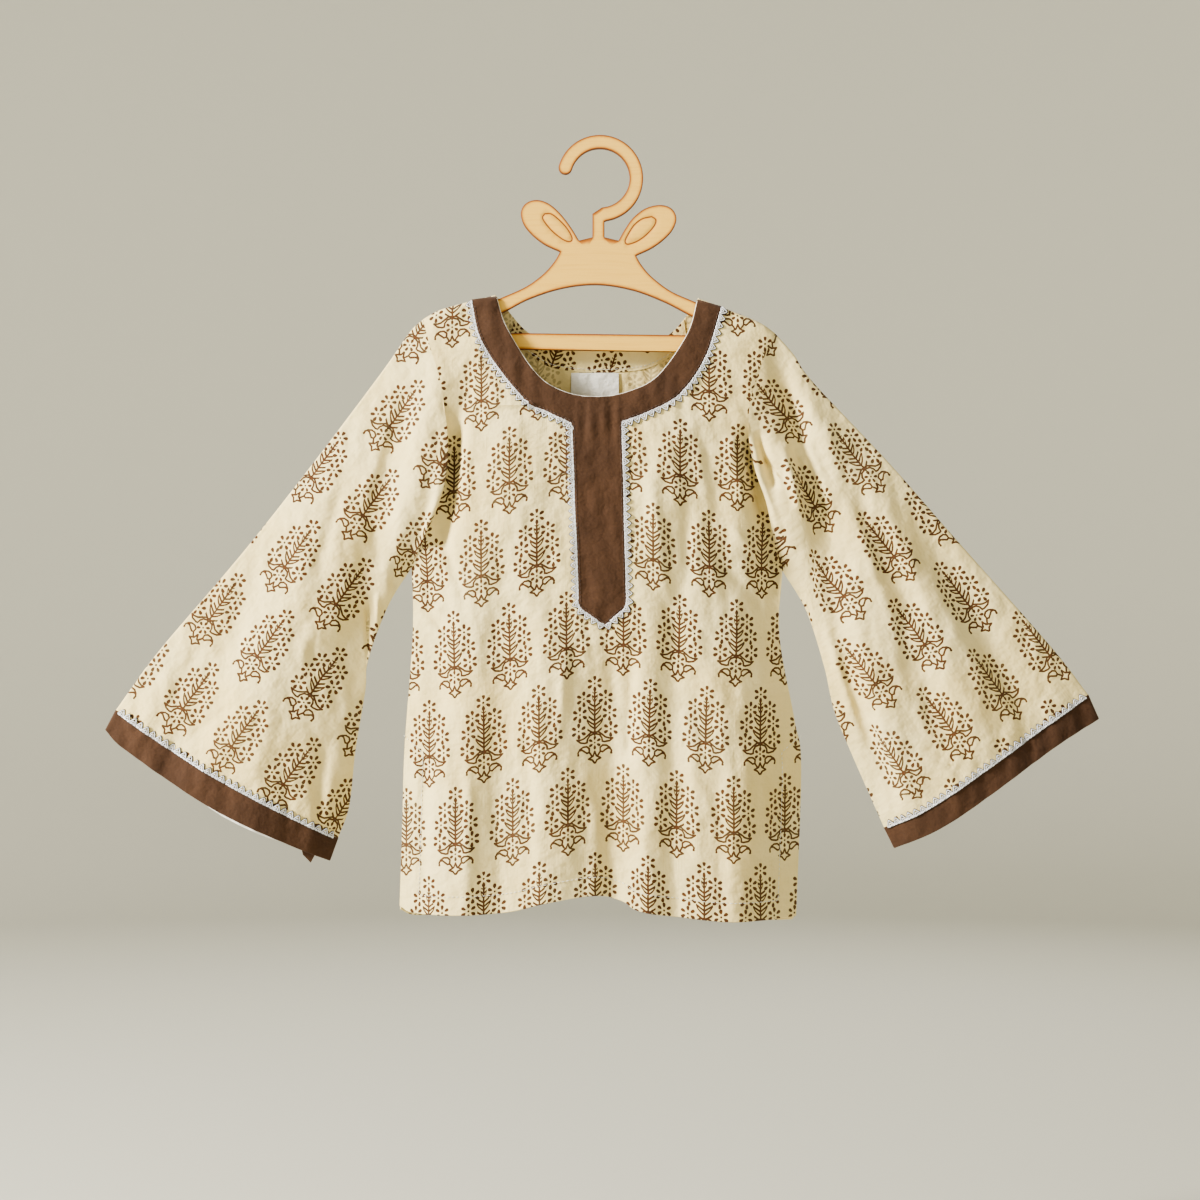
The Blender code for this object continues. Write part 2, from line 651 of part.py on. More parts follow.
def body_outline(neck, hem):
    """Closed outline of the front or the back."""
    right = (shoulder_edge("right"), armhole_edge("right"), curve(SIDE["right"], SIDE_STEP))
    left = (curve(SIDE["left"], SIDE_STEP)[::-1], armhole_edge("left")[::-1],
            shoulder_edge("left")[::-1])
    loop = joined(neck, *right, hem[::-1], *left)[:-1]
    return loop[::-1]


def shoulder_rows(places):
    """Close rows of points below each shoulder line, where the cloth turns over the hanger."""
    rows = []
    for side in ("left", "right"):
        line = shoulder_edge(side)[places]
        rows += [line - (0.0, drop) for drop in TURN_DROPS]
    return np.vstack(rows)


def build_front():
    """The front, and the neck band and lace that lie on it."""
    neck = turned(curve(FRONT_NECK, FINE_STEP / 2), NECK_STEP, last=True)
    outline = body_outline(neck, curve(HEM, OUTLINE_STEP))
    tips = {False: PLACKET_POINT, True: (PLACKET_POINT[0], PLACKET_POINT[1] - TRIM_POINT)}
    edges = []
    for outer in (False, True):
        left, right = (turned(lace_edge(side) if outer else band_edge(side), OUTLINE_STEP)
                       for side in ("left", "right"))
        edges.append(np.vstack([left, [tips[outer]], right[::-1]]))
    edge, lace = edges
    lace_loop = np.vstack([edge, lace[::-1]])
    band_loop = np.vstack([edge, neck[::-1]])
    front = panel(outline, FRONT, guides=(edge, lace), extra=shoulder_rows([1, 4, 5]))
    wall("front", drawn_in(front), 0.0, -WALL, "printed cotton", FRONT)
    low, high = SEAM_GAP, SEAM_GAP + TRIM_WALL
    for name, loop, look in (("neck_band", band_loop, "brown cotton"), ("neck_trim", lace_loop, "lace")):
        wall(name, drawn_in(patch(front, loop)), high, low, look)


def build_back():
    """The back, and the facing and label on its inner side."""
    neck = turned(curve(BACK_NECK, FINE_STEP / 2), NECK_STEP, last=True)
    outline = body_outline(neck, curve(HEM, OUTLINE_STEP) - (0.0, BACK_HEM_DROP))
    low_edge = curve(FACING_EDGE, OUTLINE_STEP)
    lowered = neck[neck[:, 1] < SHOULDER["left"][0][1] - FACING_TOP_REACH]
    facing_loop = np.vstack([lowered, low_edge[::-1]])
    label_loop = np.array([(LABEL_LEFT, LABEL_BOTTOM), (LABEL_RIGHT, LABEL_BOTTOM),
                           (LABEL_RIGHT, LABEL_TOP), (LABEL_LEFT, LABEL_TOP)])
    back = panel(outline, BACK, guides=(facing_loop, label_loop), closed=True,
                 extra=shoulder_rows([1, 2, 3, 4, 5]))
    wall("back", drawn_in(back), 0.0, -WALL, "printed cotton", BACK)
    low, high = -WALL - SEAM_GAP, -WALL - SEAM_GAP - TRIM_WALL
    for name, loop, look in (("back_neck_facing", facing_loop, "printed cotton"),
                             ("label", label_loop, "label tape")):
        wall(name, drawn_in(patch(back, loop)), low, high, look)


def build_sleeve(side):
    """One bell sleeve with its lace and its cuff band."""
    tops = curve(SLEEVE_TOP[side], count=RINGS)
    unders = curve(SLEEVE_UNDER[side], count=RINGS)
    armhole = curve(ARMHOLE[side], count=FINE_COUNT)
    seam = curve(CUFF_SEAM[side], count=FINE_COUNT)
    edge = curve(CUFF_EDGE[side], count=FINE_COUNT)
    share = TRIM_WIDTH / np.linalg.norm(tops[-1] - tops[-2])
    tops, unders = (np.insert(line, -1, line[-1] + share * (line[-2] - line[-1]), axis=0)
                    for line in (tops, unders))
    sleeve = tube(tops, unders, armhole, seam)
    size = len(sleeve.points) // len(tops)
    wall(f"sleeve_{side}", drawn_in(sleeve), 0.0, -WALL, "printed cotton")
    lace = rows_of(sleeve, len(tops) - 2, len(tops) - 1, size)
    wall(f"cuff_trim_{side}", drawn_in(lace), SEAM_GAP + TRIM_WALL, SEAM_GAP, "lace")
    cuff = tube(np.linspace(seam[0], edge[0], 3), np.linspace(seam[-1], edge[-1], 3), seam, edge)
    wall(f"cuff_{side}", drawn_in(cuff), 0.0, -CUFF_WALL, "brown cotton")


def hook_arc(radius, first, last):
    """Points of the hook's round, about its centre below the origin."""
    angles = np.radians(np.linspace(first, last, HOOK_STEPS))
    return np.column_stack([radius * np.cos(angles), radius * np.sin(angles) - HOOK_INNER])


def arm_top(side):
    """Top edge of an arm under the shoulder line, from the neck to near its end."""
    line = curve(SHOULDER[side], HANGER_STEP) - (0.0, SEAT_DROP)
    beyond = np.abs(line[:, 0])
    return line[(beyond > ARM_SEAT[0]) & (beyond < ARM_SEAT[1])]


def hanger_outline():
    """Outer outline of the hanger, anticlockwise from the tip of the hook."""
    middle = (HOOK_INNER + HOOK_OUTER) / 2
    radius = (HOOK_OUTER - HOOK_INNER) / 2
    tip = math.radians(HOOK_TIP_ANGLE)
    centre = np.array([middle * math.cos(tip), middle * math.sin(tip) - HOOK_INNER])
    turns = tip + np.radians(np.linspace(150.0, 30.0, HOOK_TIP_STEPS))
    cap = centre + radius * np.column_stack([np.cos(turns), np.sin(turns)])
    inner = hook_arc(HOOK_INNER, HOOK_TIP_ANGLE, HOOK_INNER_END)
    outer = hook_arc(HOOK_OUTER, HOOK_OUTER_END, HOOK_TIP_ANGLE)
    neck_left = np.array([NECK_CORNER, (NECK_LEFT, HEAD_TOP)])
    neck_right = np.array([(NECK_RIGHT, HEAD_TOP), (NECK_RIGHT, NECK_TOP)])
    sides = {side: np.vstack([curve(EAR[side], EAR_STEP), curve(ARM_NEAR[side], HANGER_STEP)[1:],
                              arm_top(side), curve(ARM_END[side], EAR_STEP)])
             for side in ("left", "right")}
    return np.vstack([inner, neck_left, sides["left"], sides["right"][::-1], neck_right, outer,
                      cap[::-1]])


def build_hanger():
    """The flat hanger: hook, plain head with two ears, arms and bar, cut from one board."""
    outline = hanger_outline()
    gap = np.vstack([curve(ARM_UNDER, HANGER_STEP), resample(BAR_TOP, BAR_STEP)])
    loops = [outline, gap]
    starts = [0, len(outline)]
    flat = [Vector(point) for loop in loops for point in loop]
    edges = []
    for loop, start in zip(loops, starts):
        numbers = list(range(start, start + len(loop)))
        edges += list(zip(numbers, numbers[1:] + numbers[:1]))
    found, _, triangles, _, _, _ = geometry.delaunay_2d_cdt(flat, edges, [], 0, 1e-4)
    found = np.array([tuple(point) for point in found])
    triangles = np.array([tuple(triangle) for triangle in triangles])
    middles = found[triangles].mean(axis=1)
    triangles = triangles[inside(middles, outline) & ~inside(middles, gap)]
    corners = found[triangles]
    runs = corners[:, 1:] - corners[:, :1]
    clockwise = runs[:, 0, 0] * runs[:, 1, 1] < runs[:, 0, 1] * runs[:, 1, 0]
    triangles[clockwise] = triangles[clockwise][:, ::-1]
    face = np.column_stack([found[:, 0], np.full(len(found), -BOARD / 2), found[:, 1]])
    piece = Surface(face, triangles, np.tile((0.0, -1.0, 0.0), (len(face), 1)))
    board = wall("hanger", piece, 0.0, -BOARD, "plywood")
    softened = board.modifiers.new("softened edges", "BEVEL")
    softened.width = BOARD_EDGE * MM
    softened.segments = 1
    softened.limit_method = "ANGLE"
    softened.angle_limit = math.radians(BEVEL_ANGLE)


def main():
    """Build the kurta and its hanger."""
    clear_scene()
    build_hanger()
    build_front()
    build_back()
    for side in ("left", "right"):
        build_sleeve(side)


main()
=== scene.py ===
"""The looks of a child's block-printed kurta on its flat wooden hanger.

Sizes here are millimetres, and the meshes are metres. +Z is up, the kurta's front faces -Y, and
left is -X, as somebody facing the kurta sees it. Outlines are drawn in the X-Z plane, and the
drape says how far the cloth stands from the middle plane there.
"""

import logging
import math
from dataclasses import dataclass, field
from enum import Enum, IntEnum
from typing import Callable, Iterable, Optional, Sequence, Union

import bmesh
import bpy
import numpy as np
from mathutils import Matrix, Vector, geometry


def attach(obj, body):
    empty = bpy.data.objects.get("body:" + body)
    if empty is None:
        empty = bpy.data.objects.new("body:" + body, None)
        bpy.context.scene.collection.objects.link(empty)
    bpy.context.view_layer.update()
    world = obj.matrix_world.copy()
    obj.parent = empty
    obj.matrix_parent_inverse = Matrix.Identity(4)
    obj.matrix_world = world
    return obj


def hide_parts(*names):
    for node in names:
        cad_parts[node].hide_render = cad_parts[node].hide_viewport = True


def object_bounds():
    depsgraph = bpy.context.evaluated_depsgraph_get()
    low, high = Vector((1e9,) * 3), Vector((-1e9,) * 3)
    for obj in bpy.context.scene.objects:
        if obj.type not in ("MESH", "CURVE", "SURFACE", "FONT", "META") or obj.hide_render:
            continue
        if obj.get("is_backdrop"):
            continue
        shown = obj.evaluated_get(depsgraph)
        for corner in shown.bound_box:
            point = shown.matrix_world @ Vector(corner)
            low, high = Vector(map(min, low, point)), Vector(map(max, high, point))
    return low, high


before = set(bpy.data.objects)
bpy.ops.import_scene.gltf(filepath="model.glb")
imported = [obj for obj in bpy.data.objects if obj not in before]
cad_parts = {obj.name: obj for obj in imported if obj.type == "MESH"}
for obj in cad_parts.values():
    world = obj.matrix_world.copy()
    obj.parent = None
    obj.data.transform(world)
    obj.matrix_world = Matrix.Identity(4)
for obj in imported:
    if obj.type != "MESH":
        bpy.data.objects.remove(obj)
CAD_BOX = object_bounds()

MM = 0.001
LOG = logging.getLogger("kurta")
Table = Sequence[tuple[float, float]]
Number = Union[int, float]
Object = bpy.types.Object
Material = bpy.types.Material
Node = bpy.types.Node
NodeSocket = bpy.types.NodeSocket
NodeTree = bpy.types.NodeTree
# How many points are measured at once, so that the tables of distances stay small.
BLOCK = 4000


class Side(Enum):
    """A side of the garment, as somebody facing it sees it."""

    LEFT = "left"
    RIGHT = "right"

    @property
    def sign(self) -> float:
        """Which way along X the side lies."""
        return -1.0 if self is Side.LEFT else 1.0


class Face(IntEnum):
    """A face of the garment, and which way along Y it looks."""

    FRONT = -1
    BACK = 1


class Slot(Enum):
    """Names of the material slots."""

    PRINT = "printed_cotton"
    BROWN = "brown_cotton"
    LACE = "lace"
    TAPE = "label_tape"
    WOOD = "plywood"


@dataclass(frozen=True)
class Fold:
    """A long ridge of the cloth from one place to another, or a trough where it is negative."""

    x0: float
    z0: float
    x1: float
    z1: float
    width: float
    height: float


def folds(*rows: tuple[float, ...]) -> tuple[Fold, ...]:
    """Folds from rows that give x0, z0, x1, z1, the width and the height."""
    return tuple(Fold(*row) for row in rows)


def pair(left: object, right: object) -> dict:
    """A dataclass field that holds one thing for each side."""
    return field(default_factory=lambda: {Side.LEFT: left, Side.RIGHT: right})


@dataclass(frozen=True)
class Cut:
    """Outlines of the garment as it hangs: x, z."""

    shoulder: dict = pair(
        ((-75.2, -105.1), (-92.5, -109.4), (-115.2, -115.9), (-127.4, -122.6)),
        ((70.6, -107.3), (87.8, -114.0), (113.8, -124.4), (126.0, -132.6)))
    sleeve_top: dict = pair(
        ((-127.4, -122.6), (-137.5, -132.5), (-157.0, -160.5), (-206.0, -225.5), (-258.0, -291.5),
         (-318.0, -362.0), (-348.5, -403.9)),
        ((126.0, -132.6), (139.5, -148.0), (153.5, -168.0), (208.8, -226.8), (255.0, -279.5),
         (324.0, -357.5), (351.4, -392.8)))
    sleeve_under: dict = pair(
        ((-135.5, -301.0), (-152.6, -329.0), (-167.0, -368.0), (-169.0, -390.0), (-176.0, -433.0),
         (-180.5, -473.0), (-188.6, -496.1)),
        ((131.0, -303.0), (148.3, -332.0), (161.3, -372.0), (168.5, -404.0), (180.0, -432.7),
         (204.5, -488.5)))
    cuff_seam: dict = pair(
        ((-348.5, -403.9), (-295.2, -438.5), (-240.5, -468.7), (-188.6, -496.1)),
        ((351.4, -392.8), (295.2, -431.3), (237.6, -471.0), (204.5, -488.5)))
    cuff_edge: dict = pair(
        ((-356.0, -418.0), (-341.0, -432.0), (-281.0, -471.0), (-229.0, -496.5), (-194.4, -512.0)),
        ((359.0, -410.0), (324.0, -431.5), (266.4, -472.5), (237.6, -491.0), (211.7, -503.0)))
    armhole: dict = pair(
        ((-127.4, -122.6), (-121.0, -146.0), (-114.0, -169.0), (-110.2, -203.0), (-112.5, -238.0),
         (-118.0, -260.0), (-126.0, -280.5), (-135.5, -301.0)),
        ((126.0, -132.6), (116.0, -155.0), (108.0, -180.0), (106.5, -205.0), (112.5, -231.0),
         (120.5, -256.0), (124.5, -280.0), (131.0, -303.0)))
    edge: dict = pair(
        ((-135.5, -301.0), (-134.6, -346.0), (-140.5, -430.0), (-142.0, -480.0), (-144.0, -544.5)),
        ((131.0, -303.0), (129.0, -350.0), (140.0, -411.0), (144.7, -445.0), (141.0, -551.5)))
    hem: Table = ((-144.0, -544.5), (-130.0, -549.0), (-72.0, -547.8), (-38.0, -540.0),
                  (-4.0, -535.3), (16.0, -539.5), (30.0, -546.5), (79.0, -552.6),
                  (112.0, -553.3), (141.0, -551.5))
    front_neck: Table = ((-75.2, -105.1), (-66.5, -130.5), (-45.0, -163.5), (-24.5, -176.3),
                         (-2.5, -179.6), (19.0, -176.3), (41.0, -164.8), (62.5, -134.5),
                         (70.6, -107.3))
    back_neck: Table = ((-75.2, -105.1), (-64.4, -118.5), (-52.0, -131.5), (-35.0, -139.2),
                        (-2.5, -142.0), (32.0, -140.6), (50.0, -133.0), (62.0, -120.5),
                        (70.6, -107.3))
    band_edge: dict = pair(
        ((-92.5, -109.4), (-84.0, -141.5), (-55.0, -180.5), (-38.0, -190.4), (-20.2, -198.7)),
        ((87.8, -114.0), (75.5, -151.5), (57.0, -177.8), (36.5, -189.6), (15.8, -198.0)))
    placket_end: dict = pair((-15.3, -329.8), (19.2, -329.0))
    placket_point: tuple[float, float] = (3.5, -343.1)
    facing_edge: Table = ((-66.0, -136.0), (-49.5, -148.0), (-34.0, -156.5), (-4.0, -160.0),
                          (30.0, -157.8), (49.0, -149.5), (63.0, -138.0))
    facing_reach: float = 16.0
    label_box: tuple[float, float, float, float] = (-20.9, -197.0, 13.4, -160.4)
    back_drop: float = 3.0
    slit_top: float = -429.0


CUT = Cut()
# Points of a curve that bows the end of a sleeve or a cuff.
BOW_POINTS = 400

FRONT_FOLDS = folds(
    (-68, -270, -73, -640, 15, -5.0), (-38, -320, -37, -660, 17, 4.0), (10, -350, 6, -700, 17, -8.0),
    (35, -300, 34, -640, 13, 3.5), (53, -250, 52, -640, 12, -3.0), (94, -330, 98, -680, 23, 5.0),
    (103, -195, 138, -372, 13, -6.5), (47, -195, 44, -310, 16, 3.0), (76, -195, 92, -330, 13, -3.5),
    (-112, -300, -92, -150, 12, -4.5), (-62, -190, -56, -330, 18, 3.0),
    (-120, -298, -116, -420, 11, -3.5), (-105, -380, -108, -660, 20, 3.5),
    (-112, -150, -158, -330, 11, 3.5), (-140, -165, -182, -410, 13, -4.5),
    (-164, -318, -173, -420, 7, -3.0), (-190, -215, -272, -470, 24, 3.5),
    (-228, -280, -315, -460, 17, -3.0), (-150, -330, -206, -530, 14, 3.0),
    (123, -135, 176, -310, 10, -6.0), (141, -148, 222, -372, 11, 5.0), (163, -205, 252, -440, 11, -5.5),
    (188, -222, 284, -450, 12, 4.0), (226, -262, 330, -440, 12, -3.5), (150, -248, 205, -480, 9, -4.5),
    (172, -318, 232, -500, 12, 3.5),
)
BACK_FOLDS = folds(
    (-84, -260, -90, -660, 18, 4.0), (-40, -230, -46, -660, 17, -5.0), (4, -260, 8, -660, 19, 4.5),
    (52, -240, 58, -660, 17, -5.5), (98, -290, 104, -660, 19, 4.0), (-104, -170, -120, -300, 12, -3.5),
    (102, -170, 118, -310, 12, -3.5), (-138, -165, -186, -420, 14, -4.5),
    (-190, -220, -276, -470, 20, 4.0), (-244, -290, -318, -450, 15, -3.5),
    (136, -160, 196, -420, 13, -5.0), (178, -210, 262, -450, 15, 4.5), (232, -270, 322, -440, 14, -4.0),
)
# Small creases of the finished cloth, over the large folds above.
FRONT_CREASES = folds(
    (-78, -186, -38, -184, 1.4, 0.9), (-100, -196, -114, -296, 5.0, -3.4),
    (-92, -178, -98, -262, 6.0, 1.6), (-122, -250, -96, -330, 3.5, -1.4),
    (-128, -330, -104, -352, 3.0, -1.4), (-124, -344, -98, -362, 2.4, 1.2),
    (-132, -318, -112, -334, 2.2, 1.0), (-24, -352, -30, -430, 4.0, 1.2), (24, -350, 20, -440, 4.0, -1.6),
    (34, -230, 48, -330, 5.0, 1.5), (64, -236, 60, -330, 5.0, -1.4), (-2, -470, -4, -560, 5.0, 1.6),
    (62, -400, 70, -520, 5.0, 1.3), (82, -430, 88, -556, 6.0, -1.5), (-52, -400, -50, -552, 5.0, -1.4),
    (-92, -420, -96, -552, 5.0, 1.4), (-124, -420, -128, -552, 4.0, -1.2),
    (124, -400, 126, -520, 5.0, -1.6), (114, -236, 132, -330, 4.0, -3.4),
    (104, -206, 116, -268, 3.2, -3.2), (94, -206, 104, -258, 4.0, 1.8), (92, -272, 120, -300, 3.2, 1.6),
    (70, -210, 78, -270, 4.0, 1.2), (78, -290, 118, -330, 4.0, -1.2), (-168, -325, -166, -375, 1.8, -2.4),
    (-160, -320, -160, -350, 2.2, 1.4), (-150, -308, -142, -330, 2.6, -1.2),
    (-148, -180, -170, -262, 5.0, 1.5), (-184, -238, -206, -318, 5.0, -1.5),
    (-262, -398, -300, -430, 3.0, -1.1), (-205, -340, -214, -372, 3.0, 1.2),
    (-232, -400, -252, -462, 5.0, 1.4), (-196, -420, -204, -492, 5.0, -1.4),
    (-286, -352, -310, -404, 5.0, -1.2), (232, -430, 262, -450, 1.6, -1.3),
    (238, -422, 270, -442, 1.5, 1.2), (212, -395, 232, -424, 1.8, -1.1),
    (205, -300, 228, -345, 3.0, -1.6), (146, -205, 168, -262, 3.0, 2.0),
    (132, -168, 158, -250, 3.6, -2.0), (176, -250, 214, -350, 4.5, 1.8),
    (198, -262, 244, -372, 4.5, -1.8), (232, -300, 280, -400, 5.0, 1.6),
    (270, -350, 306, -412, 5.0, -1.4), (176, -372, 214, -470, 4.5, -1.6),
    (160, -340, 190, -432, 3.6, 1.4), (112, -204, 126, -246, 3.0, -4.0), (130, -212, 144, -262, 4.0, 2.6),
    (139, -212, 152, -264, 3.0, -3.4), (116, -222, 134, -238, 2.4, -2.6),
    (-318, -395, -334, -436, 4.0, 0.8), (-300, -408, -314, -452, 3.5, -1.0),
    (-276, -424, -288, -470, 4.0, 0.9), (-262, -430, -270, -480, 3.0, -1.0),
    (-240, -445, -246, -495, 4.0, 0.8), (-222, -455, -226, -505, 3.5, -1.0),
    (-206, -465, -209, -510, 3.5, 0.8), (336, -385, 350, -425, 4.0, -0.8),
    (318, -395, 332, -438, 4.0, 0.9), (300, -408, 312, -452, 3.0, -1.2), (290, -415, 300, -460, 3.0, 1.0),
    (268, -430, 277, -478, 3.5, -1.0), (250, -445, 256, -490, 4.0, 0.8), (228, -458, 232, -500, 3.5, -0.8),
)
# Troughs of the body's front beside the rolled heads of the sleeves.
ARMHOLE_TROUGHS = folds(
    (-103, -186, -120, -292, 5.5, -5.0), (104, -200, 122, -302, 5.5, -5.0),
)
BACK_CREASES = folds(
    (-60, -200, -64, -300, 5.0, 0.9), (24, -210, 30, -330, 5.0, -1.0), (76, -200, 82, -300, 5.0, 0.9),
    (-20, -430, -24, -560, 6.0, 1.1), (-166, -325, -168, -380, 2.5, -1.5),
    (160, -330, 170, -390, 2.5, -1.5), (-215, -330, -236, -390, 3.5, 0.9),
    (214, -320, 236, -380, 3.5, -0.9),
)


def resample(points: Table, step: Optional[float] = None, count: Optional[int] = None) -> np.ndarray:
    """Space points evenly along a polyline.

    Args:
        points: The polyline's corners.
        step: Distance between the new points, if no count is given.
        count: How many points there are to be.

    Returns:
        The new points.
    """
    points = np.asarray(points, dtype=float)
    lengths = np.r_[0.0, np.cumsum(np.linalg.norm(np.diff(points, axis=0), axis=1))]
    if count is None:
        count = max(2, int(round(lengths[-1] / step)) + 1)
    places = np.linspace(0.0, lengths[-1], count)
    columns = [np.interp(places, lengths, points[:, axis]) for axis in range(points.shape[1])]
    return np.column_stack(columns)


def curve(points: Table, step: Optional[float] = None, count: Optional[int] = None) -> np.ndarray:
    """Draw a smooth curve through the points of a table.

    Args:
        points: The places it runs through.
        step: Distance between the curve's points, if no count is given.
        count: How many points there are to be.

    Returns:
        The curve's evenly spaced points.
    """
    points = np.asarray(points, dtype=float)
    padded = np.vstack([2 * points[0] - points[1], points, 2 * points[-1] - points[-2]])
    fine = []
    for before, start, end, after in zip(padded, padded[1:], padded[2:], padded[3:]):
        t = np.arange(12)[:, None] / 12
        fine.append(0.5 * (2 * start + (end - before) * t
                           + (2 * before - 5 * start + 4 * end - after) * t ** 2
                           + (3 * start - before - 3 * end + after) * t ** 3))
    fine.append(points[-1:])
    return resample(np.vstack(fine), step, count)


def joined(*lines: np.ndarray) -> np.ndarray:
    """Several lines that follow each other, as one."""
    return np.vstack([lines[0]] + [line[1:] for line in lines[1:]])


def polygon(corners: Table, step: float) -> np.ndarray:
    """Evenly spaced points round a closed outline with straight sides."""
    ahead = (*corners[1:], corners[0])
    return joined(*(resample([start, end], step) for start, end in zip(corners, ahead)))[:-1]


def unit(vectors: np.ndarray) -> np.ndarray:
    """The vectors with a length of one."""
    return vectors / np.maximum(np.linalg.norm(vectors, axis=-1, keepdims=True), 1e-12)


def inside(points: np.ndarray, outline: np.ndarray) -> np.ndarray:
    """Which points lie inside a closed outline."""
    x, z = points.T
    found = np.zeros(len(x), dtype=bool)
    for (x0, z0), (x1, z1) in zip(outline, np.roll(outline, -1, axis=0)):
        if z1 != z0:
            crosses = (z0 > z) != (z1 > z)
            found ^= crosses & (x < (x1 - x0) * (z - z0) / (z1 - z0) + x0)
    return found


def nearest_distance(points: np.ndarray, line: np.ndarray) -> np.ndarray:
    """Distance from points to a polyline.

    Args:
        points: The places, x and z.
        line: The polyline, with evenly spaced points.

    Returns:
        One distance for each point.
    """
    found = np.empty(len(points))
    for start in range(0, len(points), BLOCK):
        block = points[start:start + BLOCK]
        gaps = ((block[:, None, :] - line[None]) ** 2).sum(axis=2)
        near = gaps.argmin(axis=1)
        best = gaps.min(axis=1)
        for a, b in ((near - 1, near), (near, near + 1)):
            real = (a >= 0) & (b < len(line))
            tail, head = line[np.clip(a, 0, None)], line[np.clip(b, None, len(line) - 1)]
            run = head - tail
            along = ((block - tail) * run).sum(axis=1) / np.maximum((run ** 2).sum(axis=1), 1e-12)
            across = block - tail - np.clip(along, 0.0, 1.0)[:, None] * run
            best = np.where(real, np.minimum(best, (across ** 2).sum(axis=1)), best)
        found[start:start + BLOCK] = np.sqrt(best)
    return found


def closed_up(loop: np.ndarray) -> np.ndarray:
    """A closed outline with its first point again at its end."""
    return np.vstack([loop, loop[:1]])


def delaunay(points: np.ndarray, edges: list, loops: list, kind: int) -> tuple[np.ndarray, np.ndarray]:
    """Join points to triangles.

    Args:
        points: The points, x and z.
        edges: Pairs of point numbers that the triangles' edges follow.
        loops: Point numbers of each outline that is filled.
        kind: 0 for every triangle, 1 for those inside the outlines.

    Returns:
        The points and the triangles.
    """
    flat = [Vector(point) for point in points]
    found, _, triangles, _, _, _ = geometry.delaunay_2d_cdt(flat, edges, loops, kind, 1e-4)
    return np.array([tuple(point) for point in found]), np.array([tuple(each) for each in triangles])


def wound(flat: np.ndarray, triangles: np.ndarray, clockwise: bool = False) -> np.ndarray:
    """The triangles with their points anticlockwise in the X-Z plane, or else clockwise."""
    corners = flat[triangles]
    area = np.cross(corners[:, 1] - corners[:, 0], corners[:, 2] - corners[:, 0])
    wrong = (area > 0.0) == clockwise
    return np.where(wrong[:, None], triangles[:, ::-1], triangles)


def crown(distance: np.ndarray, reach: float) -> np.ndarray:
    """Rise from 0 at an edge to 1 at the reach."""
    t = np.clip(distance / reach, 0.0, 1.0)
    return t * (2.0 - t)


def round_edge(distance: np.ndarray, radius: float) -> np.ndarray:
    """Rise from 0 to 1 as a quarter circle."""
    t = np.clip(distance / radius, 0.0, 1.0)
    return np.sqrt(t * (2.0 - t))


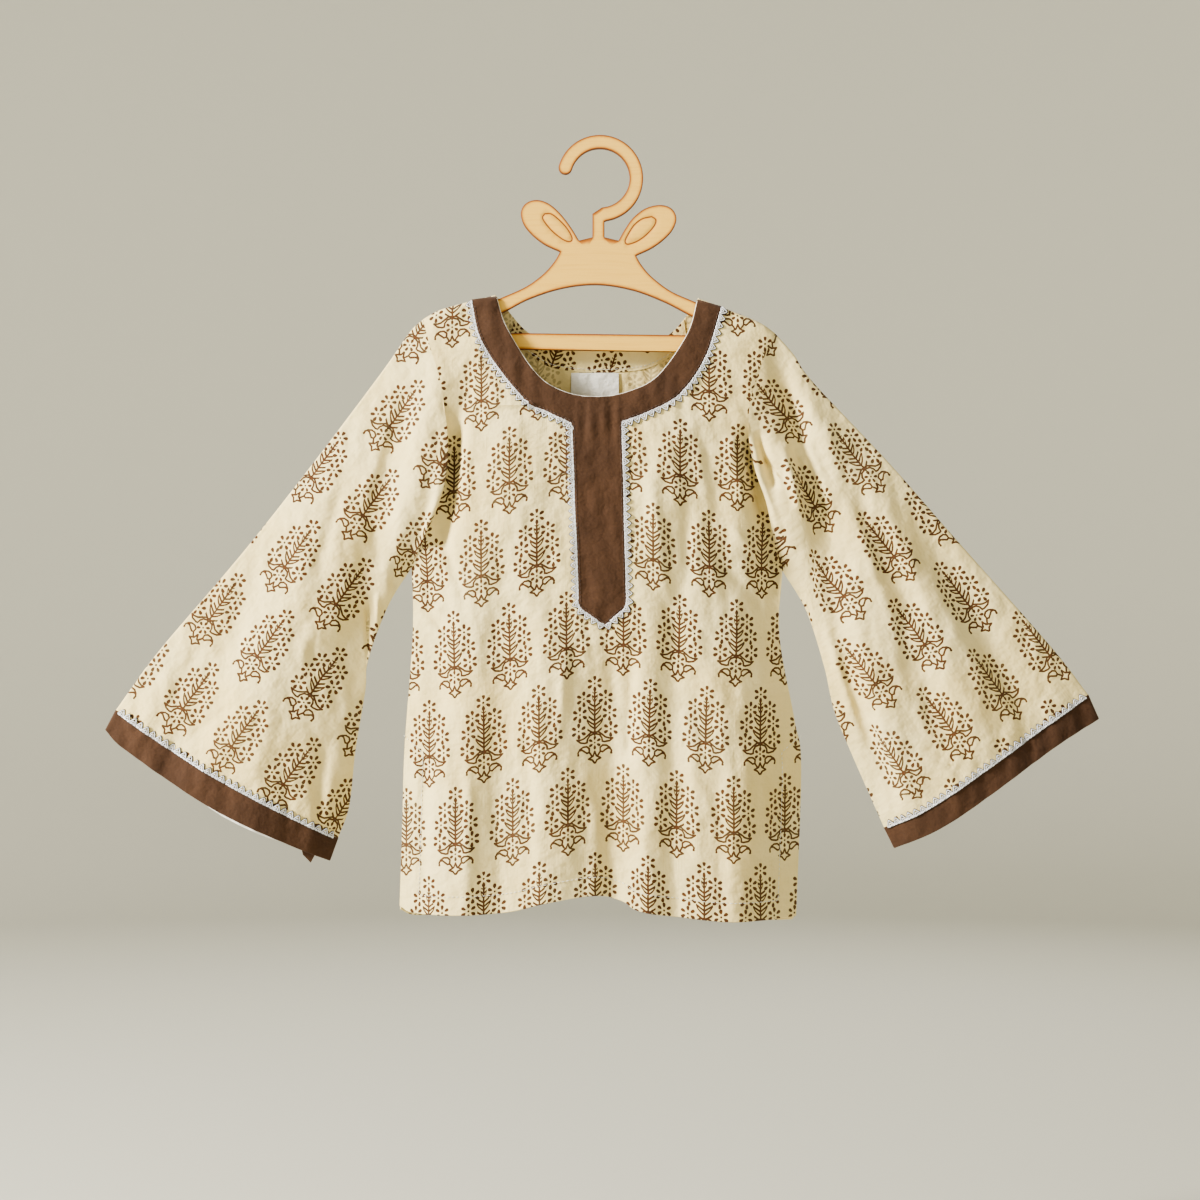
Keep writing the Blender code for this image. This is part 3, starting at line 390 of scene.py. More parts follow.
@dataclass
class Drape:
    """How the cloth hangs: how far its outer surface stands from the middle plane."""

    wall: float = 1.2
    half_gap: float = 0.15
    seam_grain: float = 0.05
    fullness: dict = field(default_factory=lambda: {Face.FRONT: 20.0, Face.BACK: 16.0})
    chest_reach: float = 160.0
    side_reach: float = 70.0
    fold_fade: float = 26.0
    crease_fade: float = 9.0
    crease_gain: float = 1.5
    slit_spread: float = 2.2
    slit_run: float = 60.0
    body_reach: float = 150.0
    hanger_ease: float = 3.3
    hanger_round: float = 3.6
    ease_full: float = 118.0
    ease_gone: float = 127.0
    soft_from: float = 6.0
    line_step: float = 1.0
    soft_stride: int = 4
    overrun: float = 70.0
    wave_seed: int = 11
    wave_count: int = 26
    wave_height: float = 0.2
    wave_lengths: tuple[float, float] = (9.0, 34.0)
    wave_steepness: float = 0.55

    def __post_init__(self) -> None:
        """Draw the lines that the cloth's depth is measured from."""
        halves = {}
        for side in Side:
            cuff = resample([CUT.cuff_seam[side][0], CUT.cuff_edge[side][0]], self.line_step)
            halves[side] = joined(curve(CUT.shoulder[side], self.line_step),
                                  curve(CUT.sleeve_top[side], self.line_step), cuff)
        neck = resample([CUT.shoulder[Side.LEFT][0], CUT.shoulder[Side.RIGHT][0]], self.line_step)
        self.top = self.carried_on(joined(halves[Side.LEFT][::-1], neck, halves[Side.RIGHT]))
        self.lower = []
        for side in Side:
            cuff = resample([CUT.cuff_edge[side][-1], CUT.cuff_seam[side][-1]], self.line_step)
            under = curve(CUT.sleeve_under[side], self.line_step)
            line = joined(cuff, under[::-1], curve(CUT.edge[side], self.line_step))
            self.lower.append(self.carried_on(line))
        draw = np.random.default_rng(self.wave_seed)
        lengths = draw.uniform(*self.wave_lengths, self.wave_count)
        angles = draw.uniform(0.0, math.pi, self.wave_count)
        self.waves = np.column_stack([np.cos(angles), self.wave_steepness * np.sin(angles)])
        self.waves /= lengths[:, None]
        self.phases = draw.uniform(0.0, math.tau, self.wave_count)

    def carried_on(self, line: np.ndarray) -> np.ndarray:
        """A line with its two ends carried on straight, past the edge of the cloth."""
        ends = []
        for end, before in ((line[0], line[3]), (line[-1], line[-4])):
            reach = end + self.overrun * (end - before) / np.linalg.norm(end - before)
            ends.append(resample([end, reach], self.line_step))
        return joined(ends[0][::-1], line, ends[1])

    def line_distance(self, points: np.ndarray, line: np.ndarray) -> np.ndarray:
        """Distance to a line: exact beside it, and rounded softly where it bends further off."""
        nearest = nearest_distance(points, line)
        sparse = line[::self.soft_stride]
        soft = np.empty(len(points))
        for start in range(0, len(points), BLOCK):
            block = points[start:start + BLOCK]
            gaps = ((block[:, None, :] - sparse[None]) ** 2).sum(axis=2)
            weight = self.line_step * self.soft_stride
            nearness = (weight / (gaps + 1e-6) ** 2).sum(axis=1)
            soft[start:start + BLOCK] = (2.0 / math.pi * nearness) ** (-1.0 / 3.0)
        share = np.clip((nearest - self.soft_from) / self.soft_from, 0.0, 1.0)
        return nearest + share * (soft - nearest)

    @staticmethod
    def fold_height(points: np.ndarray, folds: Iterable[Fold]) -> np.ndarray:
        """Sum of the folds' heights at the points."""
        total = np.zeros(len(points))
        for fold in folds:
            start = np.array([fold.x0, fold.z0])
            run = np.array([fold.x1, fold.z1]) - start
            along = np.clip((points - start) @ run / (run @ run), 0.0, 1.0)
            aside = np.linalg.norm(points - start - along[:, None] * run, axis=1)
            taper = 1.0 - (2.0 * along - 1.0) ** 4
            total += fold.height * taper * np.exp(-(aside / fold.width) ** 2)
        return total

    def ripple(self, points: np.ndarray, face: Face) -> np.ndarray:
        """Slight unevenness of cloth that has been washed and pressed."""
        turns = math.tau * (points @ self.waves.T) + self.phases * face
        return self.wave_height * np.sin(turns).sum(axis=1) / math.sqrt(self.wave_count) * 2.0

    def half_depth(self, points: np.ndarray, face: Face, creased: bool = True) -> np.ndarray:
        """Measure how far the outer surface of the cloth stands from the middle plane.

        Args:
            points: The places, x and z.
            face: The face of the garment.
            creased: Whether the small creases are added to the folds.

        Returns:
            One distance for each point, never negative.
        """
        points = np.asarray(points, dtype=float)
        top = self.line_distance(points, self.top)
        sides = [self.line_distance(points, line) for line in self.lower]
        lens = self.fullness[face] * crown(top, self.chest_reach)
        lens = lens * crown(sides[0], self.side_reach) * crown(sides[1], self.side_reach)
        reach = self.ease_gone - self.ease_full
        over_hanger = np.clip((self.ease_gone - np.abs(points[:, 0])) / reach, 0.0, 1.0)
        past_seam = np.maximum(top - self.seam_grain, 0.0)
        ease = self.hanger_ease * over_hanger * round_edge(past_seam, self.hanger_round)
        edge = self.half_gap + self.wall * round_edge(past_seam, self.wall)
        folds = self.fold_height(points, FRONT_FOLDS if face == Face.FRONT else BACK_FOLDS)
        margin = np.minimum(top, np.minimum(*sides))
        slit = self.slit_spread * np.clip((CUT.slit_top - points[:, 1]) / self.slit_run, 0.0, 1.0)
        slit = slit * (np.abs(points[:, 0]) < self.body_reach)
        depth = edge + np.hypot(ease, lens) + folds * crown(margin, self.fold_fade) + slit
        if creased:
            creases = FRONT_CREASES if face == Face.FRONT else BACK_CREASES
            fine = self.crease_gain * self.fold_height(points, creases) + self.ripple(points, face)
            depth = depth + fine * crown(margin, self.crease_fade)
        return depth

    def placed(self, points: np.ndarray, face: Face) -> np.ndarray:
        """Outline points with their depth, as x, y, z."""
        return np.column_stack([points[:, 0], face * self.half_depth(points, face), points[:, 1]])


DRAPE = Drape()


@dataclass
class Skin:
    """The outer surface of a piece of cloth, with its places on the flat cloth at each corner."""

    points: np.ndarray
    triangles: np.ndarray
    normals: np.ndarray
    flat: np.ndarray

    @classmethod
    def of(cls, points: np.ndarray, triangles: np.ndarray, flat: np.ndarray) -> "Skin":
        """Make a skin and work out its normals.

        Args:
            points: The points, x, y and z.
            triangles: Three point numbers for each triangle, anticlockwise from outside.
            flat: Two numbers for each corner of each triangle, its place on the flat cloth.

        Returns:
            The skin.
        """
        corners = points[triangles]
        across = np.cross(corners[:, 1] - corners[:, 0], corners[:, 2] - corners[:, 0])
        normals = np.zeros_like(points)
        for corner in range(3):
            np.add.at(normals, triangles[:, corner], across)
        return cls(points, triangles, unit(normals), flat)

    def rim(self) -> np.ndarray:
        """The directed edges that only one triangle uses."""
        edges = np.vstack([self.triangles[:, [a, b]] for a, b in ((0, 1), (1, 2), (2, 0))])
        size = len(self.points)
        keys = edges[:, 0].astype(np.int64) * size + edges[:, 1]
        back = edges[:, 1].astype(np.int64) * size + edges[:, 0]
        return edges[~np.isin(keys, back)]

    def looking(self, face: Face) -> "Skin":
        """The skin, turned over if it looks away from a face of the garment."""
        if self.normals[:, 1].mean() * face < 0.0:
            return Skin.of(self.points, self.triangles[:, ::-1], self.flat[:, ::-1])
        return self


Offset = Union[float, np.ndarray]


def add_mesh(name: str, points: np.ndarray, faces: Sequence, looks: Sequence, sharp: float = 46.0,
             numbers: Optional[np.ndarray] = None, flat: Optional[np.ndarray] = None) -> Object:
    """Make an object of points in millimetres.

    Args:
        name: The object's name.
        points: The points, x, y and z, in millimetres.
        faces: Point numbers of each face.
        looks: The materials.
        sharp: Edges that turn by more degrees than this are sharp.
        numbers: Which material each face has, if there are several.
        flat: Places on the flat cloth, one pair for each corner of each face in order.

    Returns:
        The object, linked to the scene.
    """
    mesh = bpy.data.meshes.new(name)
    mesh.from_pydata((points * MM).tolist(), [], [list(map(int, face)) for face in faces])
    for look in looks:
        mesh.materials.append(look)
    if numbers is not None:
        mesh.polygons.foreach_set("material_index", np.asarray(numbers, dtype=np.int32))
    if flat is not None:
        layer = mesh.uv_layers.new(name="cloth")
        layer.data.foreach_set("uv", np.asarray(flat, dtype=np.float32).ravel())
    mesh.shade_smooth()
    mesh.set_sharp_from_angle(angle=math.radians(sharp))
    made = bpy.data.objects.new(name, mesh)
    bpy.context.scene.collection.objects.link(made)
    return made


def shell(name: str, skin: Skin, outer: Offset, inner: Offset, looks: Sequence,
          bulge: float = 0.35) -> Object:
    """Build thin cloth between two offsets from a skin, with rounded edges.

    Args:
        name: The object's name.
        skin: The surface that the cloth follows.
        outer: How far its outer side lies out from the skin, one value or one for each point.
        inner: The same for its inner side.
        looks: The materials of the right side and of the wrong side.
        bulge: How far its edge stands out, as a share of its thickness.

    Returns:
        The object.
    """
    count = len(skin.points)
    outer, inner = (np.broadcast_to(np.asarray(offset, dtype=float), (count,)) for offset in (outer, inner))
    layers = [skin.points + offset[:, None] * skin.normals for offset in (outer, inner)]
    rim = skin.rim()
    ends = np.unique(rim)
    runs = np.zeros((count, 3))
    for end in (0, 1):
        np.add.at(runs, rim[:, end], skin.points[rim[:, 1]] - skin.points[rim[:, 0]])
    outward = unit(np.cross(runs[ends], skin.normals[ends]))
    middle = (layers[0][ends] + layers[1][ends]) / 2
    middle += outward * ((outer - inner)[ends] * bulge)[:, None]
    place = np.full(count, -1)
    place[ends] = np.arange(len(ends)) + 2 * count
    first, second = rim[:, 0], rim[:, 1]
    upper = np.column_stack([second, first, place[first], place[second]])
    lower = np.column_stack([place[second], place[first], first + count, second + count])
    faces = [*skin.triangles, *(skin.triangles[:, ::-1] + count), *upper, *lower]
    spot = np.zeros((count, 2))
    spot[skin.triangles.ravel()] = skin.flat.reshape(-1, 2)
    band = spot[np.column_stack([second, first, first, second])]
    flat = np.vstack([skin.flat.reshape(-1, 2), skin.flat[:, ::-1].reshape(-1, 2),
                      band.reshape(-1, 2), band.reshape(-1, 2)])
    numbers = None
    if len(looks) > 1:
        numbers = np.r_[np.zeros(len(skin.triangles)), np.ones(len(skin.triangles)),
                        np.zeros(2 * len(rim))]
    points = np.vstack([*layers, middle])
    return add_mesh(name, points, faces, looks, numbers=numbers, flat=flat)


def filled(outline: np.ndarray, step: float, rows: Sequence[np.ndarray] = (),
           margin: float = 0.45) -> tuple[np.ndarray, np.ndarray]:
    """Fill a closed outline with triangles.

    Args:
        outline: The outline's points in order.
        step: Distance between the points inside it.
        rows: Lines whose points inside the outline are used.
        margin: How near to a line other points may be, as a share of the step.

    Returns:
        The points, x and z, and the triangles.
    """
    low, high = outline.min(axis=0), outline.max(axis=0)
    grid = [(x + (row % 2) * step / 2, z)
            for row, z in enumerate(np.arange(low[1], high[1], step * math.sqrt(0.75)))
            for x in np.arange(low[0], high[0] + step, step)]
    grid = np.array(grid)
    grid = grid[inside(grid, outline)]
    closed = closed_up(outline)
    for line in (closed, *rows):
        grid = grid[nearest_distance(grid, line) > margin * step]
    extra = []
    for line in rows:
        kept = line[inside(line, outline)]
        extra.append(kept[nearest_distance(kept, closed) > 0.2])
    found, triangles = delaunay(np.vstack([outline, *extra, grid]), [], [list(range(len(outline)))], 1)
    used, triangles = np.unique(triangles, return_inverse=True)
    return found[used], triangles.reshape(-1, 3)


def drawn_in(loop: np.ndarray, distance: float) -> np.ndarray:
    """Points of a closed outline, moved sideways into it by a distance."""
    run = unit(np.roll(loop, -1, axis=0) - np.roll(loop, 1, axis=0))
    turn = np.column_stack([-run[:, 1], run[:, 0]])
    x, z = loop.T
    area = (x * np.roll(z, -1) - np.roll(x, -1) * z).sum()
    return loop + distance * turn * np.sign(area)


@dataclass
class FlatCloth:
    """Where the print falls on the body: cloth length across, and how the print's rows sag."""

    sag: Table = ((-150.0, 18.8), (-115.0, 17.3), (-86.0, 14.4), (-58.0, 9.4), (-29.0, 3.6),
                  (0.0, 0.0), (29.0, 1.4), (58.0, 5.0), (86.0, 7.9), (115.0, 8.2), (150.0, 6.5))
    middle: float = -3.6
    row_start: float = -441.4
    step: float = 2.0
    row_step: float = 6.0

    def __post_init__(self) -> None:
        """Measure the cloth along level lines, over its folds."""
        self.xs = np.arange(-152.0, 152.1, self.step)
        self.zs = np.arange(-560.0, -100.0, self.row_step)
        gx, gz = np.meshgrid(self.xs, self.zs)
        places = np.column_stack([gx.ravel(), gz.ravel()])
        self.extra = {}
        for face in Face:
            depth = DRAPE.half_depth(places, face, creased=False).reshape(gx.shape)
            steps = np.hypot(np.diff(depth, axis=1), self.step) - self.step
            total = np.column_stack([np.zeros(len(self.zs)), np.cumsum(steps, axis=1)])
            centre = int(np.argmin(np.abs(self.xs - self.middle)))
            self.extra[face] = total - total[:, centre:centre + 1]

    def places(self, points: np.ndarray, face: Face) -> np.ndarray:
        """Find places on the flat cloth.

        Args:
            points: Places on the garment, x and z.
            face: The face of the garment.

        Returns:
            Places on the cloth: across, and up from the foot of a row of the print.
        """
        columns = np.clip((points[:, 0] - self.xs[0]) / self.step, 0, len(self.xs) - 1.001)
        rows = np.clip((points[:, 1] - self.zs[0]) / self.row_step, 0, len(self.zs) - 1.001)
        i, j = rows.astype(int), columns.astype(int)
        s, t = rows - i, columns - j
        table = self.extra[face]
        extra = ((1 - s) * ((1 - t) * table[i, j] + t * table[i, j + 1])
                 + s * ((1 - t) * table[i + 1, j] + t * table[i + 1, j + 1]))
        smooth = curve(self.sag, 2.0)
        sag = np.interp(points[:, 0], smooth[:, 0], smooth[:, 1])
        across = points[:, 0] - self.middle + extra
        return np.column_stack([across * -face, points[:, 1] + sag - self.row_start])


Operand = Union["Value", Number]


class Value:
    """A number that shader nodes work out, used in sums like any other."""

    def __init__(self, tree: NodeTree, socket: NodeSocket) -> None:
        """Keep the tree and the socket that holds the number."""
        self.tree = tree
        self.socket = socket

    def math(self, operation: str, *others: Operand, clamp: bool = False) -> "Value":
        """Work out a sum with a math node.

        Args:
            operation: The node's operation.
            others: What goes with this number.
            clamp: Whether the result is kept from 0 to 1.

        Returns:
            The result.
        """
        node = self.tree.nodes.new("ShaderNodeMath")
        node.operation = operation
        node.use_clamp = clamp
        for socket, item in zip(node.inputs, (self, *others)):
            if isinstance(item, Value):
                self.tree.links.new(item.socket, socket)
            else:
                socket.default_value = item
        return Value(self.tree, node.outputs[0])

    def __add__(self, other: Operand) -> "Value":
        """This number and another."""
        return self.math("ADD", other)

    def __sub__(self, other: Operand) -> "Value":
        """This number less another."""
        return self.math("SUBTRACT", other)

    def __rsub__(self, other: Operand) -> "Value":
        """Another number less this one."""
        return (-self).math("ADD", other)

    def __mul__(self, other: Operand) -> "Value":
        """This number times another."""
        return self.math("MULTIPLY", other)

    def __truediv__(self, other: Operand) -> "Value":
        """This number over another."""
        return self.math("DIVIDE", other)

    def __neg__(self) -> "Value":
        """This number with the other sign."""
        return self.math("MULTIPLY", -1.0)

    def __abs__(self) -> "Value":
        """This number without its sign."""
        return self.math("ABSOLUTE")

    __radd__ = __add__

    def least(self, other: Operand) -> "Value":
        """The smaller of this number and another."""
        return self.math("MINIMUM", other)

    def most(self, other: Operand) -> "Value":
        """The larger of this number and another."""
        return self.math("MAXIMUM", other)

    def step(self, low: Number, high: Number) -> "Value":
        """Rise smoothly from 0 at low to 1 at high."""
        node = self.tree.nodes.new("ShaderNodeMapRange")
        node.interpolation_type = "SMOOTHSTEP"
        self.tree.links.new(self.socket, node.inputs["Value"])
        node.inputs["From Min"].default_value = low
        node.inputs["From Max"].default_value = high
        return Value(self.tree, node.outputs["Result"])


def length(u: Value, v: Value) -> Value:
    """Length of a vector given by its two parts."""
    return (u * u + v * v).math("SQRT")


Colour = tuple[float, float, float]
Tint = Union[Colour, NodeSocket]


class Palette:
    """Short ways to set up a material's nodes."""

    def __init__(self, name: str) -> None:
        """Make an empty material with one Principled BSDF."""
        self.material = bpy.data.materials.new(name)
        self.material.use_nodes = True
        self.tree = self.material.node_tree
        self.shader = self.tree.nodes["Principled BSDF"]

    def node(self, kind: str, **settings: object) -> Node:
        """A new node with its settings."""
        made = self.tree.nodes.new(kind)
        for key, value in settings.items():
            setattr(made, key, value)
        return made

    def set(self, **sockets: Number) -> None:
        """Set the shader's own sockets, with spaces written as underscores."""
        for key, value in sockets.items():
            self.shader.inputs[key.replace("_", " ")].default_value = value

    def link(self, value: Value, socket_name: str) -> None:
        """Link a value to one of the shader's sockets."""
        self.tree.links.new(value.socket, self.shader.inputs[socket_name])

    def cloth_places(self) -> tuple[Value, Value]:
        """Millimetres across and up the flat cloth."""
        uv = self.node("ShaderNodeUVMap", uv_map="cloth")
        parts = self.node("ShaderNodeSeparateXYZ")
        self.tree.links.new(uv.outputs["UV"], parts.inputs[0])
        return Value(self.tree, parts.outputs[0]), Value(self.tree, parts.outputs[1])

    def object_places(self) -> list[Value]:
        """X, Y and Z of the object, in millimetres."""
        places = self.node("ShaderNodeTexCoord")
        parts = self.node("ShaderNodeSeparateXYZ")
        self.tree.links.new(places.outputs["Object"], parts.inputs[0])
        return [Value(self.tree, parts.outputs[axis]) * (1.0 / MM) for axis in range(3)]

    def attribute(self, name: str) -> Value:
        """A number stored on the mesh."""
        found = self.node("ShaderNodeAttribute", attribute_name=name)
        return Value(self.tree, found.outputs["Fac"])

    def vector(self, *parts: Union[Value, Number]) -> NodeSocket:
        """A vector of up to three parts."""
        made = self.node("ShaderNodeCombineXYZ")
        for socket, part in zip(made.inputs, parts):
            if isinstance(part, Value):
                self.tree.links.new(part.socket, socket)
            else:
                socket.default_value = part
        return made.outputs[0]

    def noise(self, parts: Sequence, scale: float, detail: float = 2.0, rough: float = 0.5) -> Value:
        """Smooth noise from 0 to 1.

        Args:
            parts: The place that it is read at.
            scale: How many bumps there are to a unit.
            detail: How many finer layers are added.
            rough: How strong the finer layers are.

        Returns:
            The noise.
        """
        made = self.node("ShaderNodeTexNoise", noise_dimensions="3D")
        self.tree.links.new(self.vector(*parts), made.inputs["Vector"])
        made.inputs["Scale"].default_value = scale
        made.inputs["Detail"].default_value = detail
        made.inputs["Roughness"].default_value = rough
        return Value(self.tree, made.outputs[0])

    def chance(self, *parts: Value) -> Value:
        """A number from 0 to 1 that differs from one whole place to the next."""
        made = self.node("ShaderNodeTexWhiteNoise", noise_dimensions="3D")
        self.tree.links.new(self.vector(*parts), made.inputs["Vector"])
        return Value(self.tree, made.outputs["Value"])

    def mix(self, share: Value, first: Tint, second: Tint) -> NodeSocket:
        """Mix two colours.

        Args:
            share: How much of the second there is, from 0 to 1.
            first: The first colour, as three numbers or a socket.
            second: The second colour.

        Returns:
            The mixed colour.
        """
        made = self.node("ShaderNodeMix", data_type="RGBA", blend_type="MIX")
        self.tree.links.new(share.socket, made.inputs[0])
        for socket, item in ((made.inputs[6], first), (made.inputs[7], second)):
            if isinstance(item, NodeSocket):
                self.tree.links.new(item, socket)
            else:
                socket.default_value = (*item, 1.0)
        return made.outputs[2]

    def paint(self, colour: NodeSocket) -> None:
        """Give the shader its colour."""
        self.tree.links.new(colour, self.shader.inputs["Base Color"])

    def bump(self, height: Value, strength: float = 1.0) -> None:
        """Give the shader bumps, their heights in millimetres."""
        made = self.node("ShaderNodeBump")
        made.inputs["Strength"].default_value = strength
        made.inputs["Distance"].default_value = MM
        self.tree.links.new(height.socket, made.inputs["Height"])
        self.tree.links.new(made.outputs[0], self.shader.inputs["Normal"])


@dataclass(frozen=True)
class Motif:
    """The flowering bush of the print, drawn as strokes and flowers: across and up, in mm."""

    height: float = 62.8
    stroke: float = 0.69
    soft: float = 0.10
    outlines: tuple = (
        ((0.0, 20.5), (0.0, 52.8)),
        ((0.3, 22.7), (3.0, 22.6), (5.6, 20.7), (8.0, 18.8), (10.6, 18.1), (13.4, 18.3)),
        ((13.4, 18.3), (10.8, 16.1), (7.4, 15.4), (5.7, 15.7), (5.4, 18.2), (3.8, 20.5), (0.6, 21.5)),
        ((2.1, 5.4), (4.2, 8.6), (4.1, 11.2), (6.0, 12.8), (8.8, 12.8), (11.2, 11.3), (12.5, 9.2),
         (12.1, 7.5)),
        ((4.2, 8.6), (5.9, 8.1), (7.8, 9.5), (9.6, 10.8), (11.2, 10.7)),
        ((0.0, 8.7), (1.3, 5.6), (4.6, 3.9), (1.8, 2.8), (0.0, 0.2)),
    )
    flowers: tuple = ((0.0, 57.4, 1.0), (8.0, 46.9, 1.0), (11.0, 36.0, 1.0), (11.9, 24.6, 1.0),
                      (0.0, 15.0, 0.86))
    petal_ring: float = 3.95
    petal_half_length: float = 1.78
    petal_half_width: float = 1.16
    flower_eye: float = 0.78
    bud: tuple[float, float, float] = (12.3, 7.6, 0.85)
    leaf_start: float = 25.2
    leaf_lowest: float = -4.6
    leaf_highest: float = 25.2
    leaf_pitch: float = 9.6
    leaf_slope: float = 0.67
    leaf_reach: float = 6.5
    leaf_shrink: float = 0.1
    tip_reach: float = 2.3
    tip_from: float = 16.5
    tip_to: float = 19.0
    leaf_lines: tuple[float, float, float] = (1.5, 4.3, 7.4)
    bud_line_share: float = 0.8
    petal_flare: float = 0.16
    wobble: float = 0.9
    wander: float = 1.2

    def strokes(self, u: Value, v: Value) -> Value:
        """Distance to the nearest outline, less half a stroke.

        Args:
            u: Distance from the bush's middle line.
            v: Height above its foot.

        Returns:
            The distance, negative inside the stroke.
        """
        tree = u.tree
        place = tree.nodes.new("ShaderNodeCombineXYZ")
        tree.links.new(u.socket, place.inputs[0])
        tree.links.new(v.socket, place.inputs[1])
        nearest: Optional[Value] = None
        for line in self.outlines:
            for start, end in zip(line, line[1:]):
                found = self.segment(tree, place.outputs[0], start, end)
                nearest = found if nearest is None else nearest.least(found)
        return nearest - self.stroke

    @staticmethod
    def segment(tree: NodeTree, point: NodeSocket, start: tuple, end: tuple) -> Value:
        """Distance from a point to a straight stroke.

        Args:
            tree: The node tree.
            point: The socket that holds the point.
            start: Where the stroke begins.
            end: Where it ends.

        Returns:
            The distance.
        """
        def vector_math(operation: str, *items: Union[NodeSocket, tuple]) -> Node:
            """A vector sum's node; what scales a vector comes second."""
            node = tree.nodes.new("ShaderNodeVectorMath")
            node.operation = operation
            for number, item in enumerate(items):
                socket = node.inputs["Scale"] if operation == "SCALE" and number else node.inputs[number]
                if isinstance(item, NodeSocket):
                    tree.links.new(item, socket)
                else:
                    socket.default_value = item
            return node

        run = (end[0] - start[0], end[1] - start[1], 0.0)
        size = run[0] ** 2 + run[1] ** 2
        gap = vector_math("SUBTRACT", point, (start[0], start[1], 0.0)).outputs[0]
        dot = vector_math("DOT_PRODUCT", gap, tuple(part / size for part in run)).outputs["Value"]
        along = Value(tree, dot).math("ADD", 0.0, clamp=True)
        reach = vector_math("SCALE", run, along.socket).outputs[0]
        return Value(tree, vector_math("DISTANCE", gap, reach).outputs["Value"])

    def leaves(self, u: Value, v: Value) -> Value:
        """Distance to the slanting leaves on the stem, less half a stroke."""
        base = v - u * self.leaf_slope - self.leaf_start
        lower, upper, single = self.leaf_lines
        place = ((base + lower) / self.leaf_pitch).math("FRACT") * self.leaf_pitch
        top = base.step(self.tip_from, self.tip_to)
        reach = (self.leaf_reach - base * self.leaf_shrink) * (1.0 - top) + top * self.tip_reach
        share = (u / reach).least(1.0)
        curved = abs(place - lower - share * share * share * (upper - lower))
        upright = math.cos(math.atan(self.leaf_slope))
        leaf = curved.least(abs(place - upper)) * upright
        leaf = (leaf - self.stroke).most(u - reach)
        stroke = abs(place - single) * upright - self.stroke
        leaf = leaf.least(stroke.most(u - reach * self.bud_line_share))
        return leaf.most(self.leaf_lowest - base).most(base - self.leaf_highest)

    def blooms(self, u: Value, v: Value) -> Value:
        """Distance to the petals and eye of the nearest flower."""
        chosen: Optional[tuple[Value, Value, Value]] = None
        for across, up, size in self.flowers:
            right, above = (u - across) / size, (v - up) / size
            reach = length(right, above)
            if chosen is None:
                chosen = (right, above, reach)
                continue
            nearer = reach.math("LESS_THAN", chosen[2])
            kept = 1.0 - nearer
            chosen = (right * nearer + chosen[0] * kept, above * nearer + chosen[1] * kept,
                      reach.least(chosen[2]))
        right, above, reach = chosen
        turn = right.math("ARCTAN2", above)
        sector = math.tau / 6
        swing = (turn / sector + 0.5).math("FRACT") * sector - sector / 2
        ahead = reach * swing.math("COSINE") - self.petal_ring
        aside = abs(reach * swing.math("SINE"))
        width = ahead * self.petal_flare + self.petal_half_width
        oval = length(ahead / self.petal_half_length, aside / width) - 1.0
        return (oval * self.petal_half_width).least(reach - self.flower_eye)

    def ink(self, palette: Palette, u: Value, v: Value, pitch: float) -> tuple[Value, Value]:
        """Work out where the ink lies on the cloth.

        Args:
            palette: The material being made.
            u: Millimetres across the cloth.
            v: Millimetres up the cloth.
            pitch: Distance between the bushes of a row.

        Returns:
            The distance to the nearest shape, negative inside, and a chance number of the bush.
        """
        wobble = palette.noise((u, v), 0.22, detail=1.0) - 0.5
        lean = palette.noise((v, u), 0.05, detail=0.0) - 0.5
        row = (v / self.height).math("FLOOR")
        half = (row * 0.5).math("FRACT")
        place = u / pitch + half + 0.5
        column = place.math("FLOOR")
        luck = palette.chance(column, row)
        across = (place - column - 0.5) * pitch + wobble * self.wobble + (luck - 0.5) * self.wander
        up = v - row * self.height + lean * self.wander
        aside = abs(across)
        dot = length(aside - self.bud[0], up - self.bud[1]) - self.bud[2]
        shape = self.strokes(aside, up).least(self.leaves(aside, up))
        shape = shape.least(self.blooms(aside, up)).least(dot)
        return shape, luck


# Width of a pair of the cloth's threads, in millimetres.
PAIR_OF_THREADS = 0.62


